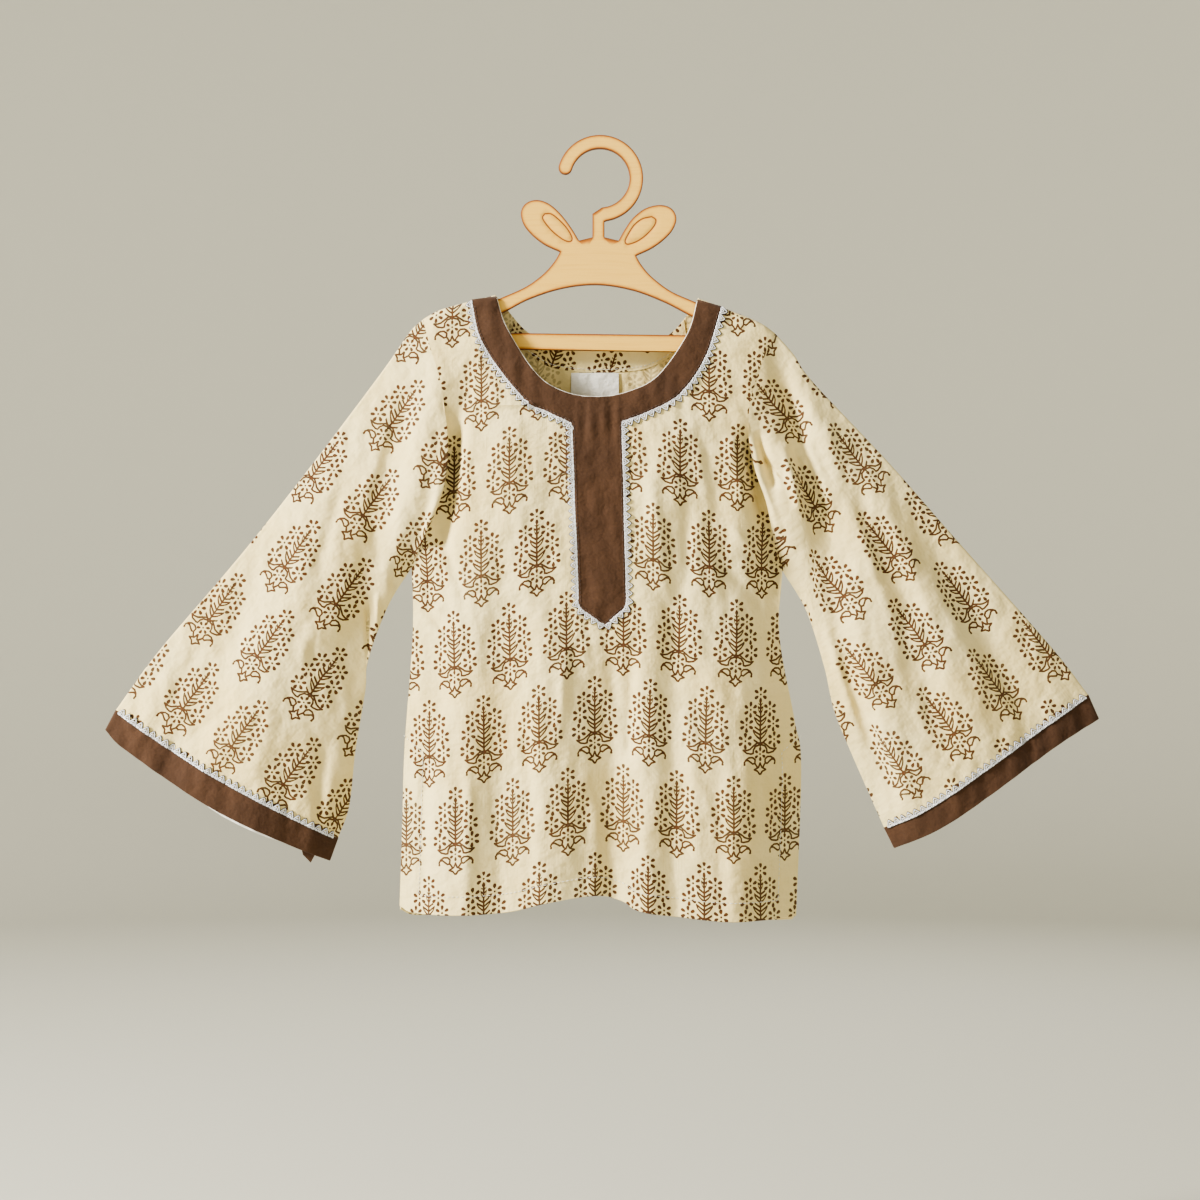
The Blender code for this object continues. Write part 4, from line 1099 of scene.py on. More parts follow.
@dataclass(frozen=True)
class PrintedCotton:
    """Cream plain-weave cotton, block printed."""

    name: str = "block printed cotton"
    pitch: float = 41.0
    strength: float = 0.98
    wrong_side: bool = False
    light: Colour = (0.845, 0.715, 0.385)
    warm: Colour = (0.77, 0.61, 0.265)
    crumple_height: float = 5.5
    dark_ink: Colour = (0.034, 0.011, 0.004)
    rust_ink: Colour = (0.125, 0.037, 0.007)

    def material(self) -> Material:
        """Make the material."""
        palette = Palette(self.name)
        u, v = palette.cloth_places()
        motif = Motif()
        shape, luck = motif.ink(palette, u, v, self.pitch)
        soft = motif.soft * (3.0 if self.wrong_side else 1.0)
        patchy = palette.noise((u, v), 0.55, detail=3.0, rough=0.65)
        grain = palette.noise((u * 0.6, v * 0.6), 2.4, detail=1.0)
        cover = 1.0 - (shape + (grain - 0.5) * 0.3).step(-soft, soft)
        cover = cover * (patchy * 0.5 + luck * 0.1 + 0.72).least(1.0) * self.strength
        rust = (-shape).step(0.08, 0.5) * patchy.step(0.28, 0.7)
        ink = palette.mix(rust, self.dark_ink, self.rust_ink)
        mottle = palette.noise((u, v), 0.012, detail=2.0).step(0.35, 0.7)
        slub = self.slub(palette, u, v)
        cloth = palette.mix(mottle * 0.6 + slub * 0.28, self.light, self.warm)
        palette.paint(palette.mix(cover, cloth, ink))
        palette.link(0.86 - slub * 0.08, "Roughness")
        palette.set(Sheen_Weight=0.12, Sheen_Roughness=0.5, Specular_IOR_Level=0.25)
        crumple = palette.noise((u, v), 0.055, detail=3.0, rough=0.55)
        palette.bump(self.weave(u, v) + slub * 0.14 + crumple * self.crumple_height, 0.6)
        return palette.material

    @staticmethod
    def slub(palette: Palette, u: Value, v: Value) -> Value:
        """Uneven threads, thick in places, that run up and across."""
        up = palette.noise((u * 1.3, v * 0.035), 1.0, detail=2.0, rough=0.6)
        across = palette.noise((u * 0.04, v * 1.2, 7.0), 1.0, detail=2.0, rough=0.6)
        return (up.step(0.5, 0.8) + across.step(0.52, 0.8) * 0.7).least(1.0)

    @staticmethod
    def weave(u: Value, v: Value) -> Value:
        """Heights of a plain weave's threads, in millimetres."""
        turns = math.tau / PAIR_OF_THREADS
        warp = (u * turns).math("SINE")
        weft = (v * turns).math("SINE")
        return (warp * weft + abs(warp) * 0.4 + abs(weft) * 0.4) * 0.035


@dataclass(frozen=True)
class PlainCotton:
    """Plain-weave cotton of one colour."""

    name: str
    light: Colour
    dark: Colour
    roughness: float = 0.88
    sheen: float = 0.2
    relief: float = 0.05
    crumple_height: float = 4.0

    def material(self) -> Material:
        """Make the material."""
        palette = Palette(self.name)
        u, v = palette.cloth_places()
        slub = PrintedCotton.slub(palette, u, v)
        mottle = palette.noise((u, v), 0.03, detail=3.0).step(0.3, 0.72)
        thread = palette.noise((u * 3.0, v * 0.5), 1.0, detail=1.0)
        share = (mottle * 0.55 + slub * 0.3 + thread * 0.2).least(1.0)
        palette.paint(palette.mix(share, self.light, self.dark))
        palette.link(self.roughness - slub * 0.06, "Roughness")
        palette.set(Sheen_Weight=self.sheen, Sheen_Roughness=0.45, Specular_IOR_Level=0.25)
        crumple = palette.noise((u, v), 0.06, detail=3.0, rough=0.6)
        palette.bump(PrintedCotton.weave(u, v) + slub * self.relief + crumple * self.crumple_height, 0.6)
        return palette.material


@dataclass(frozen=True)
class Thread:
    """Twisted thread or cord; where the mesh says shade, it is painted a dark shade colour."""

    name: str
    light: Colour
    dark: Colour
    roughness: float = 0.5
    metallic: float = 0.0
    painted_shade_colour: Colour = (0.055, 0.05, 0.055)

    def material(self) -> Material:
        """Make the material."""
        palette = Palette(self.name)
        x, y, z = palette.object_places()
        tone = palette.noise((x, y, z), 1.1, detail=2.0)
        thread = palette.mix(tone.step(0.35, 0.65), self.light, self.dark)
        # Where the mesh's shade attribute is 1, the thread takes a painted shade colour in place of its own.
        palette.paint(palette.mix(palette.attribute("shade"), thread, self.painted_shade_colour))
        palette.set(Roughness=self.roughness, Metallic=self.metallic, Sheen_Weight=0.1)
        twist = ((x + z * 0.7) * 9.0).math("SINE")
        palette.bump(twist * 0.05 + tone * 0.1, 0.6)
        return palette.material


@dataclass(frozen=True)
class Plywood:
    """Pale plywood, laser cut, with burnt edges and engraved lines."""

    name: str = "laser cut plywood"
    pale: Colour = (0.86, 0.54, 0.125)
    grain: Colour = (0.76, 0.43, 0.080)
    glow: Colour = (0.46, 0.16, 0.024)
    burnt: Colour = (0.20, 0.060, 0.012)
    soot: Colour = (0.09, 0.028, 0.008)

    def material(self) -> Material:
        """Make the material."""
        palette = Palette(self.name)
        x, y, z = palette.object_places()
        bend = palette.noise((x * 0.012, z * 0.05), 1.0, detail=2.0) * 9.0
        rings = palette.noise((x * 0.022 + bend * 0.05, (z + bend) * 0.55), 1.0, detail=4.0, rough=0.6)
        pores = palette.noise((x * 0.5, z * 3.2), 1.0, detail=2.0)
        streak = rings.step(0.42, 0.72) * 0.5 + pores.step(0.55, 0.75) * 0.35
        wood = palette.mix(streak.least(1.0), self.pale, self.grain)
        burn = palette.attribute("burn") + (palette.noise((x, z), 0.35, detail=2.0) - 0.5) * 0.16
        plies = (y * (math.tau / 1.7)).math("SINE").step(-0.2, 0.6)
        char = palette.mix(plies * 0.6 + palette.noise((x, y, z), 0.5) * 0.4, self.burnt, self.soot)
        glowing = palette.mix(burn.step(0.02, 0.6), wood, self.glow)
        palette.paint(palette.mix(burn.step(0.5, 0.9), glowing, char))
        palette.link(0.5 + streak * 0.1, "Roughness")
        palette.set(Specular_IOR_Level=0.4)
        palette.bump(rings * 0.06 - pores * 0.04, 0.6)
        return palette.material


@dataclass(frozen=True)
class Backdrop:
    """Plain pale studio floor and sweep."""

    name: str = "pale floor"
    tint: Colour = (0.56, 0.55, 0.475)

    def material(self) -> Material:
        """Make the material."""
        palette = Palette(self.name)
        palette.shader.inputs["Base Color"].default_value = (*self.tint, 1.0)
        palette.set(Roughness=0.95, Specular_IOR_Level=0.1)
        return palette.material


class Looks:
    """Every finish of the garment and its hanger, made once."""

    def __init__(self) -> None:
        """Make the materials."""
        sleeve = {"pitch": 46.8}
        self.body = PrintedCotton().material()
        self.body_inside = PrintedCotton("inside of the body", strength=0.42, wrong_side=True).material()
        self.sleeve = PrintedCotton("printed sleeve", **sleeve).material()
        self.sleeve_inside = PrintedCotton("inside of a sleeve", strength=0.42, wrong_side=True,
                                           **sleeve).material()
        self.brown = PlainCotton("brown cotton", (0.078, 0.0375, 0.0190), (0.050, 0.0235, 0.0118)).material()
        self.white = PlainCotton("white lining", (0.78, 0.77, 0.73), (0.68, 0.67, 0.62)).material()
        self.tape = PlainCotton("woven tape", (0.87, 0.86, 0.82), (0.81, 0.80, 0.75),
                                roughness=0.6, relief=0.02).material()
        self.lace = Thread("silver lace thread", (0.88, 0.89, 0.92), (0.60, 0.62, 0.67), 0.34, 0.2).material()
        self.thread = Thread("white thread", (0.86, 0.85, 0.80), (0.72, 0.70, 0.64)).material()
        self.dark_thread = Thread("brown thread", (0.075, 0.036, 0.020), (0.05, 0.024, 0.014)).material()
        self.wood = Plywood().material()


class PathArray:
    """Geometry Nodes that repeat a small unit along a line that lies on the cloth."""

    def __init__(self, name: str, seed: int = 3) -> None:
        """Build the tree.

        Args:
            name: The tree's name.
            seed: Seed of the small differences between the units.
        """
        tree = bpy.data.node_groups.new(name, "GeometryNodeTree")
        tree.is_modifier = True
        sockets = tree.interface
        sockets.new_socket("Path", in_out="INPUT", socket_type="NodeSocketGeometry")
        kinds = (("Unit", "NodeSocketObject"), ("Pitch", "NodeSocketFloat"),
                 ("Unevenness", "NodeSocketFloat"), ("Material", "NodeSocketMaterial"))
        self.keys = {label: sockets.new_socket(label, in_out="INPUT", socket_type=kind).identifier
                     for label, kind in kinds}
        sockets.new_socket("Geometry", in_out="OUTPUT", socket_type="NodeSocketGeometry")
        add = tree.nodes.new
        given, result = add("NodeGroupInput"), add("NodeGroupOutput")
        to_curve, spaced = add("GeometryNodeMeshToCurve"), add("GeometryNodeResampleCurve")
        spaced.mode = "LENGTH"
        up, tangent = add("GeometryNodeInputNamedAttribute"), add("GeometryNodeInputTangent")
        up.data_type = "FLOAT_VECTOR"
        up.inputs["Name"].default_value = "up"
        axes, unit_info = add("FunctionNodeAxesToRotation"), add("GeometryNodeObjectInfo")
        axes.primary_axis, axes.secondary_axis = "Z", "X"
        repeat, real = add("GeometryNodeInstanceOnPoints"), add("GeometryNodeRealizeInstances")
        dress, chance = add("GeometryNodeSetMaterial"), add("FunctionNodeRandomValue")
        low, high = add("ShaderNodeMath"), add("ShaderNodeMath")
        low.operation, high.operation = "SUBTRACT", "ADD"
        low.inputs[0].default_value = high.inputs[0].default_value = 1.0
        chance.data_type = "FLOAT"
        chance.inputs["Seed"].default_value = seed
        for source, output, target, entry in (
                (given, "Path", to_curve, "Mesh"), (to_curve, "Curve", spaced, "Curve"),
                (given, "Pitch", spaced, "Length"), (spaced, "Curve", repeat, "Points"),
                (given, "Unit", unit_info, "Object"), (unit_info, "Geometry", repeat, "Instance"),
                (up, "Attribute", axes, "Primary Axis"), (tangent, "Tangent", axes, "Secondary Axis"),
                (axes, "Rotation", repeat, "Rotation"), (given, "Unevenness", low, 1), (low, 0, chance, 2),
                (given, "Unevenness", high, 1), (high, 0, chance, 3), (chance, 1, repeat, "Scale"),
                (repeat, "Instances", real, "Geometry"), (real, "Geometry", dress, "Geometry"),
                (given, "Material", dress, "Material"), (dress, "Geometry", result, "Geometry")):
            tree.links.new(source.outputs[output], target.inputs[entry])
        self.tree = tree

    def along(self, name: str, lines: Sequence[tuple[np.ndarray, np.ndarray]], unit_object: Object,
              pitch: float, look: Material, unevenness: float = 0.0) -> Object:
        """Repeat a unit along lines.

        Args:
            name: Name of the finished object.
            lines: Points and upward directions of each line, in millimetres.
            unit_object: The object that is repeated, with +X along the line and +Z up.
            pitch: Distance between the units, in millimetres.
            look: The material.
            unevenness: How much the units differ in size.

        Returns:
            The finished object, a plain mesh.
        """
        points = np.vstack([line for line, _ in lines])
        edges, start = [], 0
        for line, _ in lines:
            edges += [(number, number + 1) for number in range(start, start + len(line) - 1)]
            start += len(line)
        mesh = bpy.data.meshes.new(name + " path")
        mesh.from_pydata((points * MM).tolist(), edges, [])
        up = mesh.attributes.new("up", "FLOAT_VECTOR", "POINT")
        up.data.foreach_set("vector", np.vstack([ups for _, ups in lines]).astype(np.float32).ravel())
        path = bpy.data.objects.new(name + " path", mesh)
        bpy.context.scene.collection.objects.link(path)
        modifier = path.modifiers.new("repeat", "NODES")
        modifier.node_group = self.tree
        modifier[self.keys["Unit"]] = unit_object
        modifier[self.keys["Pitch"]] = pitch * MM
        modifier[self.keys["Unevenness"]] = unevenness
        modifier[self.keys["Material"]] = look
        bpy.context.view_layer.update()
        evaluated = path.evaluated_get(bpy.context.evaluated_depsgraph_get())
        finished = bpy.data.meshes.new_from_object(evaluated)
        finished.name = name
        if not finished.materials:
            finished.materials.append(look)
        finished.shade_smooth()
        made = bpy.data.objects.new(name, finished)
        bpy.context.scene.collection.objects.link(made)
        bpy.data.objects.remove(path, do_unlink=True)
        return made


def tube_mesh(line: np.ndarray, ups: np.ndarray, radius: Offset,
              sides: int = 8) -> tuple[np.ndarray, list]:
    """Points and faces of a round cord along a line.

    Args:
        line: The line's points, x, y and z.
        ups: One direction across the line at each point.
        radius: The cord's radius, one value or one for each point.
        sides: How many sides it has.

    Returns:
        The points and the faces.
    """
    radius = np.broadcast_to(np.asarray(radius, dtype=float), (len(line),))
    run = unit(np.gradient(line, axis=0))
    across = unit(np.cross(run, ups))
    over = unit(np.cross(across, run))
    turns = np.arange(sides) * math.tau / sides
    aside, above = np.cos(turns)[None, :, None], np.sin(turns)[None, :, None]
    rings = line[:, None] + radius[:, None, None] * (aside * across[:, None] + above * over[:, None])
    faces = []
    for start in range(0, (len(line) - 1) * sides, sides):
        for side in range(sides):
            beside = (side + 1) % sides
            faces.append((start + side, start + beside, start + sides + beside, start + sides + side))
    faces.append(tuple(range(sides))[::-1])
    faces.append(tuple(range((len(line) - 1) * sides, len(line) * sides)))
    return rings.reshape(-1, 3), faces


def add_tube(name: str, line: np.ndarray, ups: np.ndarray, radius: Offset, look: Material,
             sides: int = 8) -> Object:
    """A round cord as an object, its faces turned outwards."""
    points, faces = tube_mesh(line, ups, radius, sides)
    made = add_mesh(name, points, faces, [look], sharp=70.0)
    turn_outwards(made)
    return made


def turn_outwards(made: Object) -> None:
    """Turn the faces of a closed mesh outwards."""
    solid = bmesh.new()
    solid.from_mesh(made.data)
    bmesh.ops.recalc_face_normals(solid, faces=solid.faces)
    solid.to_mesh(made.data)
    solid.free()


class Sewing:
    """Stitches and lace, repeated along lines on the cloth."""

    lace_flatness: float = 0.55
    thread_sides: int = 6
    cord_points: int = 9
    stitch_unevenness: float = 0.08
    lace_unevenness: float = 0.06
    upward: tuple[float, float, float] = (0.0, 0.0, 1.0)

    def __init__(self, looks: Looks) -> None:
        """Make the units: a stitch and a picot of the lace."""
        self.looks = looks
        self.array = PathArray("repeat along a seam")
        self.stitch = self.hidden(self.stitch_unit())
        self.picot = self.hidden(self.picot_unit())

    @staticmethod
    def hidden(made: Object) -> Object:
        """Keep a unit out of the render until it is removed."""
        made.hide_render = True
        return made

    def stitch_unit(self, half: float = 1.15, radius: float = 0.24, count: int = 7) -> Object:
        """One stitch: a short thread that dips into the cloth at both ends."""
        t = np.linspace(-1.0, 1.0, count)
        line = np.column_stack([half * t, np.zeros(count), 0.16 - 0.34 * t ** 4])
        thinned = radius * np.sqrt(1.05 - t ** 2 * 0.75)
        return add_tube("stitch unit", line, np.tile(self.upward, (count, 1)), thinned,
                        self.looks.thread, self.thread_sides)

    def picot_unit(self, pitch: float = 2.75, reach: float = 4.2) -> Object:
        """One point of the lace: slanting threads over an outline cord painted dark as shade, and a braided
        foot with a cord of painted shade along it.
        """
        # The last two cords, with shade 1.0, are painted shade: dark cords laid low where shadow falls round
        # the points and along the foot.
        cords = (
            (((-pitch, 0.3, 0.5), (-0.62 * pitch, reach * 0.42, 1.1), (0.0, reach, 0.9),
              (0.62 * pitch, reach * 0.42, 1.1), (pitch, 0.3, 0.5)), 0.42, 0.0),
            (((-0.42 * pitch, 0.4, 1.0), (0.0, reach * 0.5, 1.5), (0.42 * pitch, 0.4, 1.0)), 0.38, 0.0),
            (((-pitch, 0.1, 0.8), (-0.33 * pitch, -0.25, 1.25), (0.33 * pitch, 0.45, 1.25),
              (pitch, 0.1, 0.8)), 0.37, 0.0),
            (((-pitch, 0.5, 1.0), (-0.33 * pitch, 0.5, 0.8), (0.33 * pitch, -0.2, 0.8),
              (pitch, -0.2, 1.0)), 0.37, 0.0),
            (((-pitch, 0.9, 0.25), (-0.7 * pitch, reach * 0.5, 0.35), (0.0, reach + 0.6, 0.35),
              (0.7 * pitch, reach * 0.5, 0.35), (pitch, 0.9, 0.25)), 0.42, 1.0),
            (((-pitch, -0.55, 0.4), (pitch, -0.55, 0.4)), 0.4, 1.0),
        )
        points, faces, shades, start = [], [], [], 0
        for places, radius, shade in cords:
            line = curve(places, count=self.cord_points) * (1.0, 1.0, self.lace_flatness)
            ups = np.tile(self.upward, (self.cord_points, 1))
            part, part_faces = tube_mesh(line, ups, radius, self.thread_sides)
            faces += [tuple(corner + start for corner in face) for face in part_faces]
            points.append(part)
            shades += [shade] * len(part)
            start += len(part)
        made = add_mesh("picot unit", np.vstack(points), faces, [self.looks.lace], sharp=80.0)
        layer = made.data.attributes.new("shade", "FLOAT", "POINT")
        layer.data.foreach_set("value", shades)
        turn_outwards(made)
        return made

    def stitches(self, name: str, lines: Sequence, pitch: float = 3.3,
                 look: Optional[Material] = None) -> Object:
        """A row of stitches along lines on the cloth."""
        return self.array.along(name, lines, self.stitch, pitch, look or self.looks.thread,
                                self.stitch_unevenness)

    def lace(self, name: str, lines: Sequence, pitch: float = 5.5) -> Object:
        """Lace along lines on the cloth; its points lie to the left of the lines' direction."""
        return self.array.along(name, lines, self.picot, pitch, self.looks.lace, self.lace_unevenness)

    def clear(self) -> None:
        """Remove the units."""
        for unit_object in (self.stitch, self.picot):
            bpy.data.objects.remove(unit_object, do_unlink=True)


def on_cloth(line: np.ndarray, face: Face, lift: float) -> tuple[np.ndarray, np.ndarray]:
    """Lay a flat line on the cloth.

    Args:
        line: The line's points, x and z.
        face: The face of the garment.
        lift: How far above the cloth's outer surface the line lies.

    Returns:
        The line's points in space and the cloth's outward directions there.
    """
    step = 0.8
    points = DRAPE.placed(line, face)
    slopes = []
    for axis in (0, 1):
        move = np.zeros(2)
        move[axis] = step / 2
        rise = DRAPE.half_depth(line + move, face) - DRAPE.half_depth(line - move, face)
        slopes.append(rise / step)
    ups = unit(np.column_stack([-slopes[0], np.full(len(line), float(face)), -slopes[1]]))
    return points + lift * ups, ups


def declare(made: Object, slot: Slot, *nodes: str) -> None:
    """Say which body a piece rides on, and hide the nodes that it stands for."""
    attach(made, "root")
    if nodes:
        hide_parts(*nodes)
    LOG.info("%s: %d triangles", made.name, sum(len(face.vertices) - 2 for face in made.data.polygons))


@dataclass
class Body:
    """The kurta's front and back, with their hems, slits and stitching."""

    looks: Looks
    sewing: Sewing
    step: float = 2.4
    thickness: float = 0.5
    hem_depth: float = 13.0
    hem_extra: float = 0.7
    slit_depth: float = 14.0
    slit_bar: float = 6.0
    slit_start: float = 4.0
    groove: float = 0.3
    groove_width: float = 1.6
    edge_rows: tuple[float, float] = (0.45, 1.3)
    stitch_step: float = 1.5
    stitch_lift: float = -0.12
    low_middle: float = -430.0
    flat: FlatCloth = field(default_factory=FlatCloth)

    def outline(self, face: Face) -> np.ndarray:
        """The panel's closed outline, anticlockwise in the X-Z plane."""
        neck = CUT.front_neck if face == Face.FRONT else CUT.back_neck
        drop = CUT.back_drop if face == Face.BACK else 0.0
        hem = curve(CUT.hem, self.step) - (0.0, drop)
        right = [curve(table[Side.RIGHT], self.step) for table in (CUT.shoulder, CUT.armhole, CUT.edge)]
        left = [curve(table[Side.LEFT], self.step)[::-1] for table in (CUT.edge, CUT.armhole, CUT.shoulder)]
        loop = joined(curve(neck, self.step), *right, hem[::-1], *left)[:-1]
        return loop[::-1]

    def stitch_line(self, face: Face) -> np.ndarray:
        """The seam that holds up the hem and goes on up both slits."""
        drop = CUT.back_drop if face == Face.BACK else 0.0
        hem = curve(CUT.hem, self.step) - (0.0, drop - self.hem_depth)
        left, right = CUT.hem[0][0] + self.slit_depth, CUT.hem[-1][0] - self.slit_depth
        hem = hem[(hem[:, 0] > left) & (hem[:, 0] < right)]
        sides = []
        for side, end in ((Side.LEFT, hem[0]), (Side.RIGHT, hem[-1])):
            edge = curve(CUT.edge[side], self.step)
            slit = edge[(edge[:, 1] < CUT.slit_top - self.slit_start) & (edge[:, 1] > end[1])]
            slit = slit - (side.sign * self.slit_depth, 0.0)
            across = edge[np.argmin(np.abs(edge[:, 1] - CUT.slit_top))][0]
            sides.append(np.vstack([[(across, CUT.slit_top + self.slit_bar)], slit]))
        return np.vstack([sides[0], hem, sides[1][::-1]])

    def skin(self, face: Face) -> Skin:
        """The panel's outer surface."""
        outline = self.outline(face)
        stitch = resample(self.stitch_line(face), self.step)
        rows = [drawn_in(outline, distance) for distance in self.edge_rows]
        flat, triangles = filled(outline, self.step, rows=[stitch, *rows])
        points = DRAPE.placed(flat, face)
        seam = nearest_distance(flat, stitch)
        points[:, 1] -= face * self.groove * np.exp(-(seam / self.groove_width) ** 2)
        if face == Face.FRONT:
            points[:, 1] += face * DRAPE.fold_height(flat, ARMHOLE_TROUGHS)
        triangles = wound(flat, triangles, clockwise=face == Face.BACK)
        places = self.flat.places(flat, face)
        return Skin.of(points, triangles, places[triangles])

    def inner_offset(self, skin: Skin, face: Face) -> np.ndarray:
        """The inner side's offset: the hem and the slits' edges are turned in and thicker."""
        places = skin.points[:, [0, 2]]
        loop = self.outline(face)
        low = loop[loop[:, 1] < CUT.slit_top]
        turns = np.arctan2(low[:, 1] - self.low_middle, low[:, 0])
        near = nearest_distance(places, low[np.argsort(turns)])
        turned = (near < self.hem_depth - 0.5) & (places[:, 1] < CUT.slit_top + self.slit_start)
        return -(self.thickness + self.hem_extra * turned)

    def build(self) -> None:
        """Make and declare both panels."""
        for face, name in ((Face.FRONT, "front"), (Face.BACK, "back")):
            skin = self.skin(face)
            inner = self.inner_offset(skin, face)
            panel = shell(f"{name}_cloth", skin, 0.0, inner, [self.looks.body, self.looks.body_inside])
            declare(panel, Slot.PRINT, name)
            seam = on_cloth(resample(self.stitch_line(face), self.stitch_step), face, self.stitch_lift)
            stitches = self.sewing.stitches(f"{name}_hem_stitches", [seam])
            declare(stitches, Slot.PRINT)


@dataclass
class Sleeve:
    """A bell sleeve: a tube whose top is a fold and whose lower edge is a seam."""

    side: Side
    looks: Looks
    rings: int = 150
    across: int = 74
    thickness: float = 0.5
    roll_from: float = 0.0
    roll_to: float = 1.0
    roll_over: float = 4.6
    roll_lift: float = 4.6
    roll_reach: float = 9.0
    tuck: float = 0.12
    clearance: float = 0.02
    print_lean: float = 36.0
    print_foot: tuple[float, float] = (-255.6, -384.5)
    fold_steps: tuple[float, ...] = (0.12, 0.4, 0.9, 1.7)
    roll_profile: tuple = ((0.0, 0.0), (0.7, 0.12), (1.0, 0.5), (0.72, 0.9), (0.25, 1.0))

    def steps(self, width: float) -> np.ndarray:
        """Places across the sleeve, closer together at its two folds."""
        near = np.array(self.fold_steps) / width
        even = (1.0 - np.cos(np.linspace(0.0, math.pi, self.across))) / 2.0
        even = even[(even > near[-1] * 1.4) & (even < 1.0 - near[-1] * 1.4)]
        return np.r_[near, even, 1.0 - near[::-1]]

    def flat_places(self, places: np.ndarray, face: Face) -> np.ndarray:
        """Places on the sleeve's flat cloth, the back folded out from the top fold."""
        lean = math.radians(self.print_lean) * -self.side.sign
        up = np.array([math.sin(lean), math.cos(lean)])
        over = np.array([math.cos(lean), -math.sin(lean)])
        if face == Face.BACK:
            start, end = (np.array(CUT.sleeve_top[self.side][number]) for number in (0, -1))
            run = unit(end - start)
            normal = np.array([-run[1], run[0]])
            places = places - 2.0 * ((places - start) @ normal)[:, None] * normal
        gap = places - np.array(self.print_foot)
        return np.column_stack([gap @ over, gap @ up])

    def skin(self) -> Skin:
        """The sleeve's outer surface."""
        tops = curve(CUT.sleeve_top[self.side], count=self.rings)
        unders = curve(CUT.sleeve_under[self.side], count=self.rings)
        start = curve(CUT.armhole[self.side], count=BOW_POINTS)
        end = curve(CUT.cuff_seam[self.side], count=BOW_POINTS)
        return self.tube(tops, unders, start, end, self.flat_places, self.roll)

    def roll(self, rings: np.ndarray, steps: np.ndarray) -> np.ndarray:
        """Add close rings at the armhole, where the sleeve rolls over the body's front.

        Args:
            rings: Points of each ring's front half, ring by ring.
            steps: How far down the armhole each of them lies, from 0 to 1.

        Returns:
            The front half with the new rings before the others.
        """
        edge, second = rings[0], rings[1]
        into = unit(edge - second)
        span = (steps - self.roll_from) / (self.roll_to - self.roll_from)
        share = np.sin(math.pi * np.clip(span, 0.0, 1.0)) ** 1.3
        added = []
        for over, up in self.roll_profile:
            moved = edge + into * (self.roll_over * share * over - self.tuck)[:, None]
            moved[:, 1] = edge[:, 1] - (self.roll_lift * share * up + self.clearance)
            added.append(moved)
        lifted = rings.copy()
        for number in range(len(rings)):
            away = np.linalg.norm(rings[number] - edge, axis=1)
            lifted[number, :, 1] -= self.roll_lift * share * np.exp(-(away / self.roll_reach) ** 2)
        return np.concatenate([np.array(added), lifted[1:]])

    def tube(self, tops: np.ndarray, unders: np.ndarray, start: np.ndarray, end: np.ndarray,
             places_of: Callable, roll: Optional[Callable] = None) -> Skin:
        """Build rings round the top fold, the front, the under seam and the back.

        Args:
            tops: The rings' places on the top fold.
            unders: The rings' places on the under seam.
            start: The curve that bows the first ring.
            end: The curve that bows the last ring.
            places_of: Gives places on the flat cloth.
            roll: Adds rings at the start of the front, if any.

        Returns:
            The skin.
        """
        steps = self.steps(float(np.linalg.norm(unders[len(unders) // 2] - tops[len(tops) // 2])))
        share = np.linspace(0.0, 1.0, len(tops))[:, None, None]
        bows = []
        for line in (start, end):
            there = np.linspace(0.0, 1.0, len(line))
            bent = np.column_stack([np.interp(steps, there, line[:, axis]) for axis in (0, 1)])
            bows.append(bent - line[0] - steps[:, None] * (line[-1] - line[0]))
        flat = tops[:, None] + steps[None, :, None] * (unders - tops)[:, None]
        flat = flat + (1.0 - share) * bows[0] + share * bows[1]
        halves, maps = {}, {}
        for face in Face:
            depth = DRAPE.half_depth(flat.reshape(-1, 2), face).reshape(flat.shape[:2])
            halves[face] = np.dstack([flat[:, :, 0], face * depth, flat[:, :, 1]])
        count = len(tops)
        if roll:
            halves[Face.FRONT] = roll(halves[Face.FRONT], steps)
            extra = len(halves[Face.FRONT]) - count
            back = halves[Face.BACK]
            lead = back[0] + np.linspace(self.tuck, 0.0, extra)[:, None, None] * unit(back[0] - back[1])
            halves[Face.BACK] = np.concatenate([lead, back])
            tops, unders = (np.vstack([np.repeat(line[:1], extra, axis=0), line]) for line in (tops, unders))
            flat = np.concatenate([np.repeat(flat[:1], extra, axis=0), flat])
        for face in Face:
            places = np.concatenate([tops[:, None], flat, unders[:, None]], axis=1)
            mapped = places_of(places.reshape(-1, 2), face).reshape(places.shape)
            maps[face] = self.stretched(mapped, halves[face])
        over = np.column_stack([tops[:, 0], np.zeros(len(tops)), tops[:, 1]])[:, None]
        below = np.column_stack([unders[:, 0], np.zeros(len(unders)), unders[:, 1]])[:, None]
        rings = np.concatenate([over, halves[Face.FRONT], below, halves[Face.BACK][:, ::-1]], axis=1)
        cloth = np.concatenate([maps[Face.FRONT], maps[Face.BACK][:, ::-1]], axis=1)
        return self.joined_rings(rings, cloth)

    @staticmethod
    def stretched(places: np.ndarray, points: np.ndarray) -> np.ndarray:
        """Let the cloth's length across the sleeve include the depth of its folds."""
        runs = np.diff(points, axis=1)
        flat = np.linalg.norm(runs[:, :, [0, 2]], axis=2)
        extra = np.linalg.norm(runs, axis=2) - flat
        total = np.cumsum(np.concatenate([np.zeros((len(points), 2)), extra], axis=1), axis=1)
        total = np.concatenate([total, total[:, -1:]], axis=1)
        way = np.sign(places[:, -1:, 0] - places[:, :1, 0])
        places = places.copy()
        places[:, :, 0] += total * way
        return places

